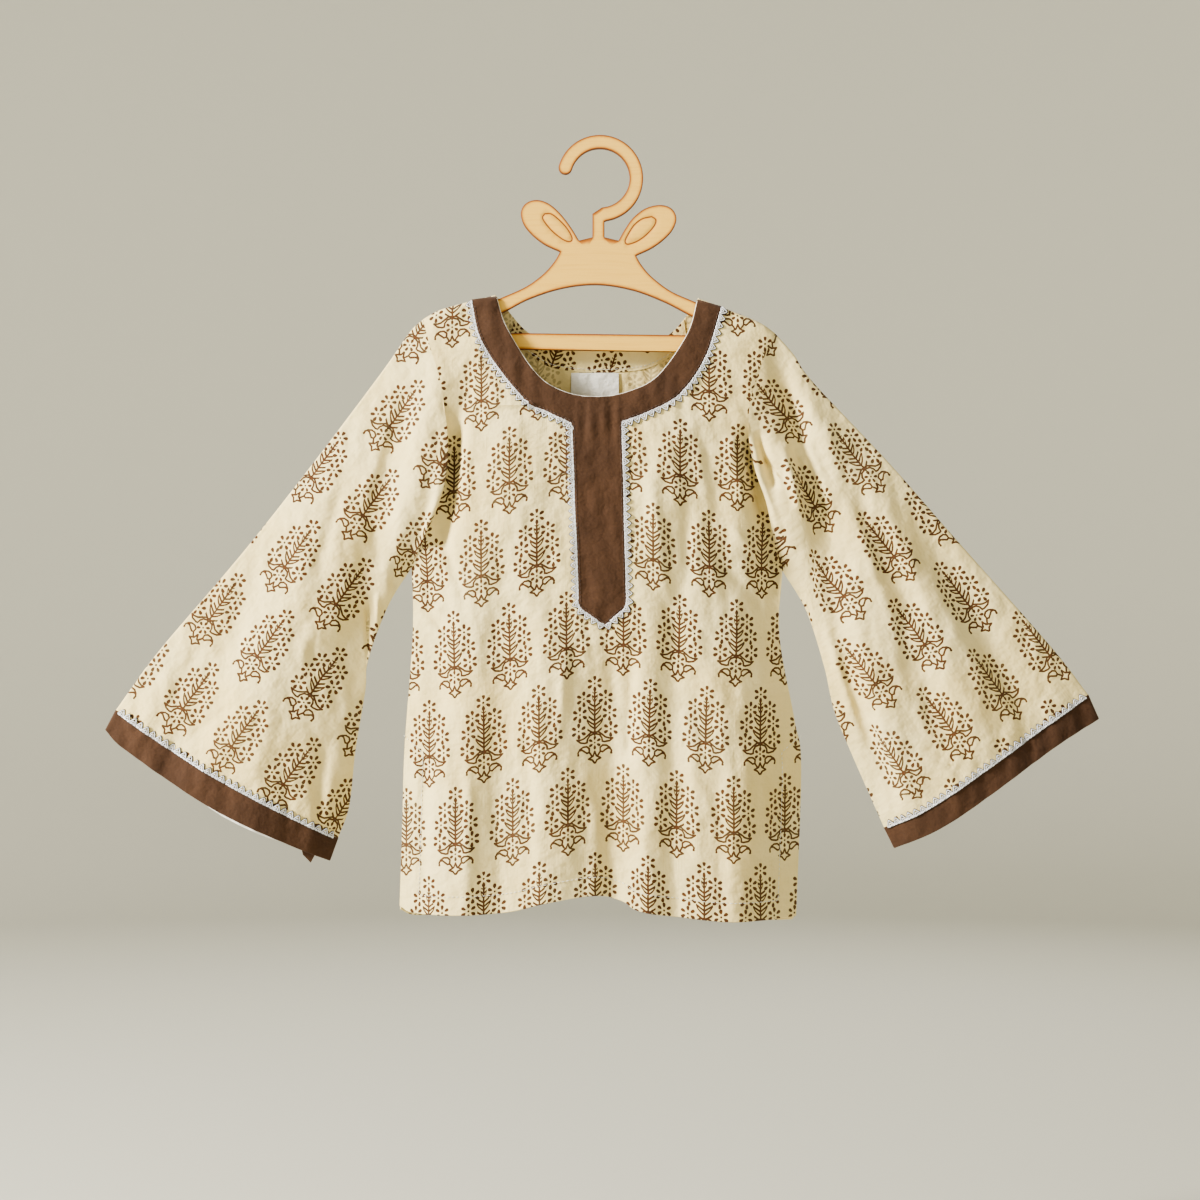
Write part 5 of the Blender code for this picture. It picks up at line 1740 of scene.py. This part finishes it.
    @staticmethod
    def joined_rings(rings: np.ndarray, cloth: np.ndarray) -> Skin:
        """Join rings of points to a tube.

        Args:
            rings: Points, ring by ring.
            cloth: Places on the flat cloth, ring by ring, the under seam and the top fold twice.

        Returns:
            The skin.
        """
        rows, size = rings.shape[:2]
        middle = (cloth.shape[1] - 2) // 2 + 1
        numbers = np.arange(rows * size).reshape(rows, size)
        place = np.concatenate([np.arange(middle), np.r_[np.arange(middle - 1, size), 0]])
        triangles, flat = [], []
        for first in range(cloth.shape[1] - 1):
            if first == middle - 1:
                continue
            left, right = numbers[:, place[first]], numbers[:, place[first + 1]]
            near, far = cloth[:, first], cloth[:, first + 1]
            triangles.append(np.column_stack([left[:-1], left[1:], right[:-1]]))
            flat.append(np.stack([near[:-1], near[1:], far[:-1]], axis=1))
            triangles.append(np.column_stack([right[:-1], left[1:], right[1:]]))
            flat.append(np.stack([far[:-1], near[1:], far[1:]], axis=1))
        points = rings.reshape(-1, 3)
        triangles, flat = np.vstack(triangles), np.concatenate(flat)
        skin = Skin.of(points, triangles, flat)
        probe = numbers[rows // 2, size // 4]
        if skin.normals[probe, 1] * points[probe, 1] < 0.0:
            skin = Skin.of(points, triangles[:, ::-1], flat[:, ::-1])
        return skin

    def build(self) -> None:
        name = f"sleeve_{self.side.value}"
        sleeve = shell(f"{name}_cloth", self.skin(), 0.0, -self.thickness,
                       [self.looks.sleeve, self.looks.sleeve_inside])
        declare(sleeve, Slot.PRINT, name)


@dataclass
class Cuff:
    """A brown band round a sleeve's mouth, with lace along its upper edge."""

    side: Side
    looks: Looks
    sewing: Sewing
    thickness: float = 0.85
    proud: float = 0.25
    lace_drop: float = 0.05
    lace_lift: float = 0.25
    lace_step: float = 2.0
    lace_ends: int = 12
    rings: int = 15
    scrap: float = 0.35
    scrap_step: float = 1.6
    scrap_gap: float = 0.05
    lining_span: tuple[float, float] = (-281.0, -228.0)
    lining_shows: float = 1.6
    tail: Table = ((-208.0, -504.0), (-215.5, -505.0), (-214.6, -508.8), (-208.6, -514.4),
                   (-205.6, -508.6))

    def build(self) -> None:
        seam = curve(CUT.cuff_seam[self.side], count=BOW_POINTS)
        edge = curve(CUT.cuff_edge[self.side], count=BOW_POINTS)
        tops, unders = (np.linspace(seam[end], edge[end], self.rings) for end in (0, -1))
        pattern = Sleeve(self.side, self.looks)

        def places_of(places: np.ndarray, face: Face) -> np.ndarray:
            """Places on the band's flat cloth."""
            return places * (float(-face), 1.0)

        skin = pattern.tube(tops, unders, seam, edge, places_of)
        name = f"cuff_{self.side.value}"
        band = shell(f"{name}_band", skin, self.proud, self.proud - self.thickness, [self.looks.brown])
        declare(band, Slot.BROWN, name)
        lines = []
        for face in Face:
            foot = seam + self.lace_drop * (edge - seam)
            ends = self.lace_ends
            line = foot[ends:-ends] if face == Face.FRONT else foot[-ends:ends:-1]
            line = resample(line, self.lace_step)
            if self.side is Side.RIGHT:
                line = line[::-1]
            lines.append(on_cloth(line, face, self.lace_lift))
        lace = self.sewing.lace(f"cuff_lace_{self.side.value}", lines)
        declare(lace, Slot.LACE, f"cuff_trim_{self.side.value}")
        extras = [lace]
        if self.side is Side.LEFT:
            extras += [self.lining(), self.seam_tail()]

    def strip(self, name: str, loop: np.ndarray, face: Face, look: Material, slot: Slot) -> Object:
        """A scrap of cloth that lies inside one wall of the band.

        Args:
            name: The piece's name.
            loop: Its outline, x and z.
            face: The wall that it lies inside.
            look: Its material.
            slot: Its material slot.

        Returns:
            The piece.
        """
        flat, triangles = filled(loop, self.scrap_step)
        points = DRAPE.placed(flat, face)
        skin = Skin.of(points, triangles, flat[triangles]).looking(face)
        offset = self.proud - self.thickness - self.scrap_gap
        piece = shell(name, skin, offset, offset - self.scrap, [look])
        declare(piece, slot)
        return piece

    def lining(self) -> Object:
        """The edge of the white lining, which shows below the front of the left cuff."""
        edge = curve(CUT.cuff_edge[self.side], self.scrap_step)
        shown = edge[(edge[:, 0] > self.lining_span[0]) & (edge[:, 0] < self.lining_span[1])]
        along = np.linspace(0.0, 1.0, len(shown))
        drop = self.lining_shows * np.sin(math.pi * along) ** 0.6
        low = shown - (0.0, self.proud) - np.column_stack([np.zeros(len(shown)), drop])
        high = shown + (0.9, 1.8)
        loop = np.vstack([low, high[::-1]])
        return self.strip("cuff_lining_left", loop, Face.FRONT, self.looks.white, Slot.TAPE)

    def seam_tail(self) -> Object:
        """The end of the cuff's seam, which sticks out below its edge."""
        loop = polygon(self.tail, 1.0)
        return self.strip("cuff_seam_tail_left", loop, Face.BACK, self.looks.brown, Slot.BROWN)


@dataclass
class NeckBand:
    """The brown band round the neck with its pointed placket, its piping and its lace."""

    looks: Looks
    sewing: Sewing
    step: float = 2.0
    lift: float = 0.3
    thickness: float = 0.85
    edge_row: float = 0.45
    seam_inset: float = 1.6
    seam_depth: float = 0.22
    seam_width: float = 0.9
    line_step: float = 1.5
    stitch_pitch: float = 2.9
    piping_radius: float = 0.4
    piping_lift: float = 0.35
    lace_lift: float = 0.25
    pucker_middle: float = -196.0
    pucker_reach: float = 15.0
    pucker_rows: tuple = ((-16.0, 1.2, 0.7), (-11.0, 1.1, -0.8), (-6.5, 1.2, 0.8), (-1.0, 1.1, -0.9),
                          (3.5, 1.2, 0.8), (8.5, 1.1, -0.8), (13.0, 1.2, 0.7))

    def edge(self) -> np.ndarray:
        """The band's outer edge from the left shoulder round the point to the right shoulder."""
        halves = {}
        for side in Side:
            down = resample([CUT.band_edge[side][-1], CUT.placket_end[side]], self.step)
            point = resample([CUT.placket_end[side], CUT.placket_point], self.step)
            halves[side] = joined(curve(CUT.band_edge[side], self.step), down, point)
        return joined(halves[Side.LEFT], halves[Side.RIGHT][::-1])

    def build(self) -> None:
        edge = self.edge()
        neck = curve(CUT.front_neck, self.step)
        loop = joined(edge, neck[::-1])[:-1]
        rows = [drawn_in(loop, distance) for distance in (self.edge_row, self.seam_inset)]
        flat, triangles = filled(loop, self.step, rows=rows)
        points = DRAPE.placed(flat, Face.FRONT)
        triangles = wound(flat, triangles)
        skin = Skin.of(points, triangles, flat[triangles]).looking(Face.FRONT)
        margin = nearest_distance(flat, closed_up(loop))
        top = self.lift + self.thickness * (0.55 + 0.45 * round_edge(margin, 1.0))
        pressed = np.exp(-((margin - self.seam_inset) / self.seam_width) ** 2)
        top = top - self.seam_depth * pressed + self.puckers(flat)
        band = shell("neck_band_cloth", skin, top, self.lift, [self.looks.brown])
        declare(band, Slot.BROWN, "neck_band")
        inner = resample(drawn_in(loop, self.seam_inset)[:len(edge)][3:-3], self.line_step)
        seam = on_cloth(inner, Face.FRONT, self.lift + self.thickness - 0.15)
        stitches = self.sewing.stitches("neck_band_stitches", [seam], self.stitch_pitch,
                                        self.looks.dark_thread)
        declare(stitches, Slot.BROWN)
        line, ups = on_cloth(curve(CUT.front_neck, self.line_step)[2:-2], Face.FRONT, self.piping_lift)
        piping = add_tube("neck_piping", line, ups, self.piping_radius, self.looks.thread)
        declare(piping, Slot.BROWN)
        foot = on_cloth(resample(edge[::-1], self.line_step)[2:-2], Face.FRONT, self.lace_lift)
        lace = self.sewing.lace("neck_lace", [foot])
        declare(lace, Slot.LACE, "neck_trim")

    def puckers(self, flat: np.ndarray) -> np.ndarray:
        """Soft upright puckers where the placket meets the round of the neck."""
        total = np.zeros(len(flat))
        fade = np.exp(-((flat[:, 1] - self.pucker_middle) / self.pucker_reach) ** 2)
        for x, width, height in self.pucker_rows:
            total += height * fade * np.exp(-((flat[:, 0] - x) / width) ** 2)
        return total


@dataclass
class BackNeck:
    """The printed facing inside the back neck, and the bare tape label below it."""

    looks: Looks
    sewing: Sewing
    step: float = 2.0
    under: float = -0.55
    thickness: float = 0.5
    print_turn: float = 0.35
    seam_inset: float = 2.2
    seam_lift: float = -0.05
    stitch_pitch: float = 3.0
    label_under: float = 0.6

    def patch(self, loop: np.ndarray, turn: float = 0.0) -> Skin:
        """A surface that follows the back inside an outline, its print turned by some radians."""
        flat, triangles = filled(loop, self.step, rows=[drawn_in(loop, 0.5)])
        points = DRAPE.placed(flat, Face.BACK)
        turned = flat @ np.array([[math.cos(turn), math.sin(turn)], [-math.sin(turn), math.cos(turn)]])
        return Skin.of(points, triangles, turned[triangles]).looking(Face.BACK)

    def build(self) -> None:
        neck = curve(CUT.back_neck, self.step)
        neck = neck[neck[:, 1] < CUT.shoulder[Side.LEFT][0][1] - CUT.facing_reach]
        low = curve(CUT.facing_edge, self.step)
        loop = np.vstack([neck, low[::-1]])
        skin = self.patch(loop, turn=self.print_turn)
        facing = shell("back_neck_facing_cloth", skin, self.under, self.under - self.thickness,
                       [self.looks.body, self.looks.body])
        declare(facing, Slot.PRINT, "back_neck_facing")
        lift = self.under - self.thickness + self.seam_lift
        line, ups = on_cloth(low + (0.0, self.seam_inset), Face.BACK, lift)
        seam = self.sewing.stitches("facing_stitches", [(line, -ups)], self.stitch_pitch)
        declare(seam, Slot.PRINT)
        x0, z0, x1, z1 = CUT.label_box
        loop = polygon(((x0, z0), (x1, z0), (x1, z1), (x0, z1)), self.step)
        outer = self.under - self.label_under
        label = shell("label_tape", self.patch(loop), outer, outer - self.thickness, [self.looks.tape])
        declare(label, Slot.TAPE, "label")


@dataclass
class Hanger:
    """The flat hanger, cut from one board, with burnt edges and a line engraved in each ear."""

    looks: Looks
    board: float = 5.0
    soft_edge: float = 0.35
    seat_drop: float = 3.4
    arm_seat: tuple[float, float] = (76.0, 107.0)
    hook_inner: float = 21.2
    hook_outer: float = 31.0
    tip_angle: float = 163.0
    inner_end: float = -86.0
    outer_end: float = -81.0
    line_width: float = 0.75
    line_depth: float = 0.3
    ear: dict = pair(
        ((-15.1, -66.2), (-21.0, -56.5), (-29.0, -46.3), (-37.5, -39.3), (-46.0, -37.0), (-53.5, -39.6),
         (-57.0, -46.0), (-55.0, -54.5), (-49.0, -62.0), (-40.0, -69.0), (-28.8, -74.2)),
        ((13.3, -66.2), (18.0, -57.8), (24.0, -49.6), (33.0, -42.9), (43.5, -40.6), (51.5, -43.2),
         (55.0, -50.0), (52.5, -58.0), (46.0, -65.3), (37.0, -71.8), (25.9, -77.0)))
    arm_near: dict = pair(
        ((-28.8, -74.2), (-33.0, -81.5), (-41.0, -90.5), (-54.0, -99.8), (-72.0, -107.8)),
        ((25.9, -77.0), (30.0, -84.0), (37.5, -92.5), (51.0, -102.6), (68.0, -110.2)))
    arm_end: dict = pair(
        ((-112.0, -119.2), (-116.5, -122.8), (-118.5, -129.0), (-117.5, -136.5), (-112.5, -141.8),
         (-104.0, -143.7)),
        ((109.5, -127.2), (114.0, -131.2), (116.0, -136.5), (115.0, -142.6), (110.5, -146.2),
         (102.0, -147.0)))
    arm_under: Table = ((-99.0, -131.2), (-70.8, -118.5), (-51.0, -108.3), (-27.0, -100.6), (-2.0, -98.0),
                        (23.0, -101.8), (46.0, -110.3), (67.3, -121.3), (93.0, -133.3))
    bar_top: Table = ((90.0, -134.6), (-96.0, -132.3))
    neck_left: float = -5.5
    neck_right: float = 3.2
    neck_top: float = -52.5
    neck_corner: tuple[float, float] = (-5.5, -47.0)
    head_top: float = -63.8
    inner_ear: dict = pair(
        ((-39.6, -47.0), (-34.8, -47.2), (-28.3, -52.3), (-22.8, -58.6), (-19.9, -64.6), (-21.6, -67.0),
         (-26.4, -65.5), (-33.1, -60.5), (-38.4, -54.7), (-41.2, -49.9)),
        ((37.2, -49.0), (40.3, -51.3), (39.1, -55.6), (33.6, -61.9), (26.9, -66.7), (20.0, -68.9),
         (18.2, -66.6), (20.4, -61.7), (24.5, -55.4), (30.2, -50.8)))
    scorch_steps: tuple[float, ...] = (0.5, 1.1, 1.9, 2.9)
    edge_scorch: float = 0.85
    line_scorch: float = 0.95
    ear_step: float = 1.5
    hook_points: int = 90
    cap_points: int = 18
    grid_step: float = 4.0
    far: float = 9.0

    def arc(self, radius: float, first: float, last: float) -> np.ndarray:
        """Points of the hook's round."""
        angles = np.radians(np.linspace(first, last, self.hook_points))
        return np.column_stack([radius * np.cos(angles), radius * np.sin(angles) - self.hook_inner])

    def arm_top(self, side: Side) -> np.ndarray:
        """Top edge of an arm under the shoulder line."""
        line = curve(CUT.shoulder[side], 2.0) - (0.0, self.seat_drop)
        beyond = np.abs(line[:, 0])
        return line[(beyond > self.arm_seat[0]) & (beyond < self.arm_seat[1])]

    def outline(self) -> np.ndarray:
        """The hanger's outer outline, anticlockwise from the tip of the hook."""
        middle, radius = (self.hook_inner + self.hook_outer) / 2, (self.hook_outer - self.hook_inner) / 2
        tip = math.radians(self.tip_angle)
        centre = np.array([middle * math.cos(tip), middle * math.sin(tip) - self.hook_inner])
        turns = tip + np.radians(np.linspace(170.0, 10.0, self.cap_points))
        cap = centre + radius * np.column_stack([np.cos(turns), np.sin(turns)])
        step = self.ear_step
        sides = {side: np.vstack([curve(self.ear[side], step), curve(self.arm_near[side], step)[1:],
                                  self.arm_top(side), curve(self.arm_end[side], step)]) for side in Side}
        return np.vstack([
            self.arc(self.hook_inner, self.tip_angle, self.inner_end),
            resample([self.neck_corner, (self.neck_left, self.head_top)], step), sides[Side.LEFT],
            sides[Side.RIGHT][::-1],
            resample([(self.neck_right, self.head_top), (self.neck_right, self.neck_top)], step),
            self.arc(self.hook_outer, self.outer_end, self.tip_angle), cap[::-1]])

    def engraved(self, side: Side) -> np.ndarray:
        """The closed line engraved in an ear."""
        table = self.inner_ear[side]
        return curve((*table, table[0]), 0.9)[:-1]

    def build(self) -> None:
        outline = self.outline()
        gap = np.vstack([curve(self.arm_under, 2.0), resample(self.bar_top, 3.0)])
        loops = [outline, gap]
        eased = [drawn_in(outline, self.soft_edge), drawn_in(gap, -self.soft_edge)]
        lines = []
        for side in Side:
            loop = self.engraved(side)
            lines += [drawn_in(loop, offset) for offset in (-self.line_width, 0.0, self.line_width)]
        everything = [*eased, *lines]
        edges, start = [], 0
        for loop in everything:
            numbers = list(range(start, start + len(loop)))
            edges += list(zip(numbers, numbers[1:] + numbers[:1]))
            start += len(loop)
        grid = np.array([(x, z) for z in np.arange(-150.0, 12.0, self.grid_step)
                         for x in np.arange(-120.0, 120.0, self.grid_step)])
        grid = grid[self.on_board(grid, eased)]
        for loop in everything:
            grid = grid[nearest_distance(grid, closed_up(loop)) > self.grid_step / 2]
        flat = np.vstack([*everything, grid, *self.scorch_rows(eased, lines)])
        found, triangles = delaunay(flat, edges, [], 0)
        triangles = triangles[self.on_board(found[triangles].mean(axis=1), eased)]
        self.raise_board(found, wound(found, triangles), loops, eased, lines)

    @staticmethod
    def on_board(places: np.ndarray, eased: list) -> np.ndarray:
        """Which places lie on the board: inside its outer outline and outside its gap."""
        return inside(places, eased[0]) & ~inside(places, eased[1])

    def scorch_rows(self, eased: list, lines: list) -> list:
        """Points in rows beside the cut edges, so that the scorch fades evenly across them."""
        rows = []
        for number, loop in enumerate(eased):
            for step in self.scorch_steps:
                row = drawn_in(loop, step if number == 0 else -step)
                row = row[self.on_board(row, eased)]
                for other in eased:
                    row = row[nearest_distance(row, closed_up(other)) > step * 0.9]
                for other in lines:
                    row = row[nearest_distance(row, closed_up(other)) > 0.3]
                rows.append(row)
        return rows

    def raise_board(self, found: np.ndarray, triangles: np.ndarray, loops: list, eased: list,
                    lines: list) -> None:
        """Give the filled face its thickness, its eased edges and its burnt places.

        Args:
            found: Points of the face, x and z.
            triangles: Its triangles, anticlockwise.
            loops: The true outlines.
            eased: The outlines of the flat face, a little inside the true ones.
            lines: The engraved lines, three for each ear.
        """
        half = self.board / 2
        groove, border = (np.min([np.full(len(found), self.far)]
                                 + [nearest_distance(found, closed_up(line)) for line in group], axis=0)
                          for group in (lines[1::3], eased))
        cut = self.line_depth * np.clip(1.0 - groove / self.line_width, 0.0, 1.0)
        edge = self.edge_scorch * np.exp(-border)
        beside = np.clip(1.0 - groove / (self.line_width * 1.3), 0.0, 1.0)
        scorch = np.maximum(beside * self.line_scorch, edge)
        front = np.column_stack([found[:, 0], -half + cut, found[:, 1]])
        back = np.column_stack([found[:, 0], np.full(len(found), half), found[:, 1]])
        points, faces = [front, back], [*triangles, *(triangles[:, ::-1] + len(found))]
        burns = [scorch, edge]
        start = 2 * len(found)
        for loop, inner in zip(loops, eased):
            near = np.array([np.argmin(((found - point) ** 2).sum(axis=1)) for point in inner])
            size = len(loop)
            for depth in (-half + self.soft_edge, half - self.soft_edge):
                points.append(np.column_stack([loop[:, 0], np.full(size, depth), loop[:, 1]]))
                burns.append(np.ones(size))
            rings = [near, np.arange(size) + start, np.arange(size) + start + size, near + len(found)]
            start += 2 * size
            for upper, lower in zip(rings, rings[1:]):
                for a in range(size):
                    b = (a + 1) % size
                    faces.append((upper[b], upper[a], lower[a], lower[b]))
        made = add_mesh("hanger_board", np.vstack(points), faces, [self.looks.wood], sharp=30.0)
        burn = made.data.attributes.new("burn", "FLOAT", "POINT")
        burn.data.foreach_set("value", np.concatenate(burns).astype(np.float32))
        turn_outwards(made)
        declare(made, Slot.WOOD, "hanger")


@dataclass
class Studio:
    """The pale floor and sweep, the soft lights and the camera."""

    floor: float = -0.86
    radius: float = 3.7
    lens: float = 85.0
    sensor: float = 36.0
    far_end: float = 50.0
    distance: float = 2.04
    eye_height: float = -0.3247
    look: str = "AgX - Medium High Contrast"
    aim: tuple[float, float, float] = (0.0, 0.0, -0.32)
    ambient: Colour = (1.0, 0.98, 0.94)
    ambient_strength: float = 0.09
    wall_height: float = 4.2
    bend: float = 0.9
    lamps: tuple = (
        ("key", (-2.78, -1.16, 1.05), 0.7, 300.0, (1.0, 0.965, 0.90)),
        ("fill", (1.5, -2.2, 0.1), 1.8, 6.5, (0.97, 0.98, 1.0)),
        ("top", (0.1, -0.4, 1.75), 1.2, 6.0, (1.0, 1.0, 1.0)),
        ("rear", (0.4, 2.0, 0.9), 1.6, 20.0, (1.0, 0.99, 0.97)),
    )

    def build(self) -> None:
        """Make the stage, the lights and the camera."""
        self.sweep()
        for lamp in self.lamps:
            self.light(*lamp)
        world = bpy.data.worlds.new("studio")
        world.use_nodes = True
        background = world.node_tree.nodes["Background"]
        background.inputs["Color"].default_value = (*self.ambient, 1.0)
        background.inputs["Strength"].default_value = self.ambient_strength
        bpy.context.scene.world = world
        bpy.context.scene.view_settings.look = self.look
        data = bpy.data.cameras.new("camera")
        data.lens = self.lens
        data.sensor_width = self.sensor
        data.clip_end = self.far_end
        camera = bpy.data.objects.new("camera", data)
        camera.location = (0.0, -self.distance, self.eye_height)
        camera.rotation_euler = (math.radians(90.0), 0.0, 0.0)
        bpy.context.scene.collection.objects.link(camera)
        bpy.context.scene.camera = camera

    def sweep(self) -> None:
        """A round floor whose rim curves up to a wall."""
        bend, profile = self.bend, [(0.0, 0.0)]
        for angle in np.linspace(0.0, math.pi / 2, 12):
            profile.append((self.radius - bend + bend * math.sin(angle), bend - bend * math.cos(angle)))
        profile.append((self.radius, self.wall_height))
        turns = np.linspace(0.0, math.tau, 73)[:-1]
        points, faces = [(0.0, 0.0, self.floor)], []
        for radius, height in profile[1:]:
            points += [(radius * math.cos(t), radius * math.sin(t), self.floor + height) for t in turns]
        size = len(turns)
        faces += [(0, 1 + n, 1 + (n + 1) % size) for n in range(size)]
        for row in range(len(profile) - 2):
            base = 1 + row * size
            faces += [(base + n, base + size + n, base + size + (n + 1) % size, base + (n + 1) % size)
                      for n in range(size)]
        made = add_mesh("floor", np.array(points) / MM, faces, [Backdrop().material()], sharp=80.0)
        made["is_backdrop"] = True

    def light(self, name: str, place: tuple, size: float, power: float, tint: Colour) -> None:
        """Add a soft light that looks at the middle of the kurta.

        Args:
            name: Its name.
            place: Where it stands.
            size: How wide it is, in metres.
            power: Its power in watts.
            tint: Its colour.
        """
        data = bpy.data.lights.new(name, "AREA")
        data.shape = "SQUARE"
        data.size = size
        data.energy = power
        data.color = tint
        made = bpy.data.objects.new(name, data)
        made.location = place
        aim = Vector(self.aim) - Vector(place)
        made.rotation_euler = aim.to_track_quat("-Z", "Y").to_euler()
        bpy.context.scene.collection.objects.link(made)


def main() -> None:
    """Build the stage, the hanger and the kurta, piece by piece."""
    logging.basicConfig(level=logging.INFO, format="%(message)s")
    Studio().build()
    looks = Looks()
    sewing = Sewing(looks)
    Hanger(looks).build()
    Body(looks, sewing).build()
    NeckBand(looks, sewing).build()
    BackNeck(looks, sewing).build()
    left = Sleeve(Side.LEFT, looks, roll_from=0.35, roll_to=0.97)
    right = Sleeve(Side.RIGHT, looks, roll_from=0.42, roll_to=0.86, print_lean=38.0,
                   print_foot=(242.6, -376.6))
    for sleeve in (left, right):
        sleeve.build()
        Cuff(sleeve.side, looks, sewing).build()
    sewing.clear()
    boxes = {"cad": CAD_BOX, "visual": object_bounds()}
    {name: [list(corner) for corner in box] for name, box in boxes.items()}


if __name__ == "__main__":
    main()
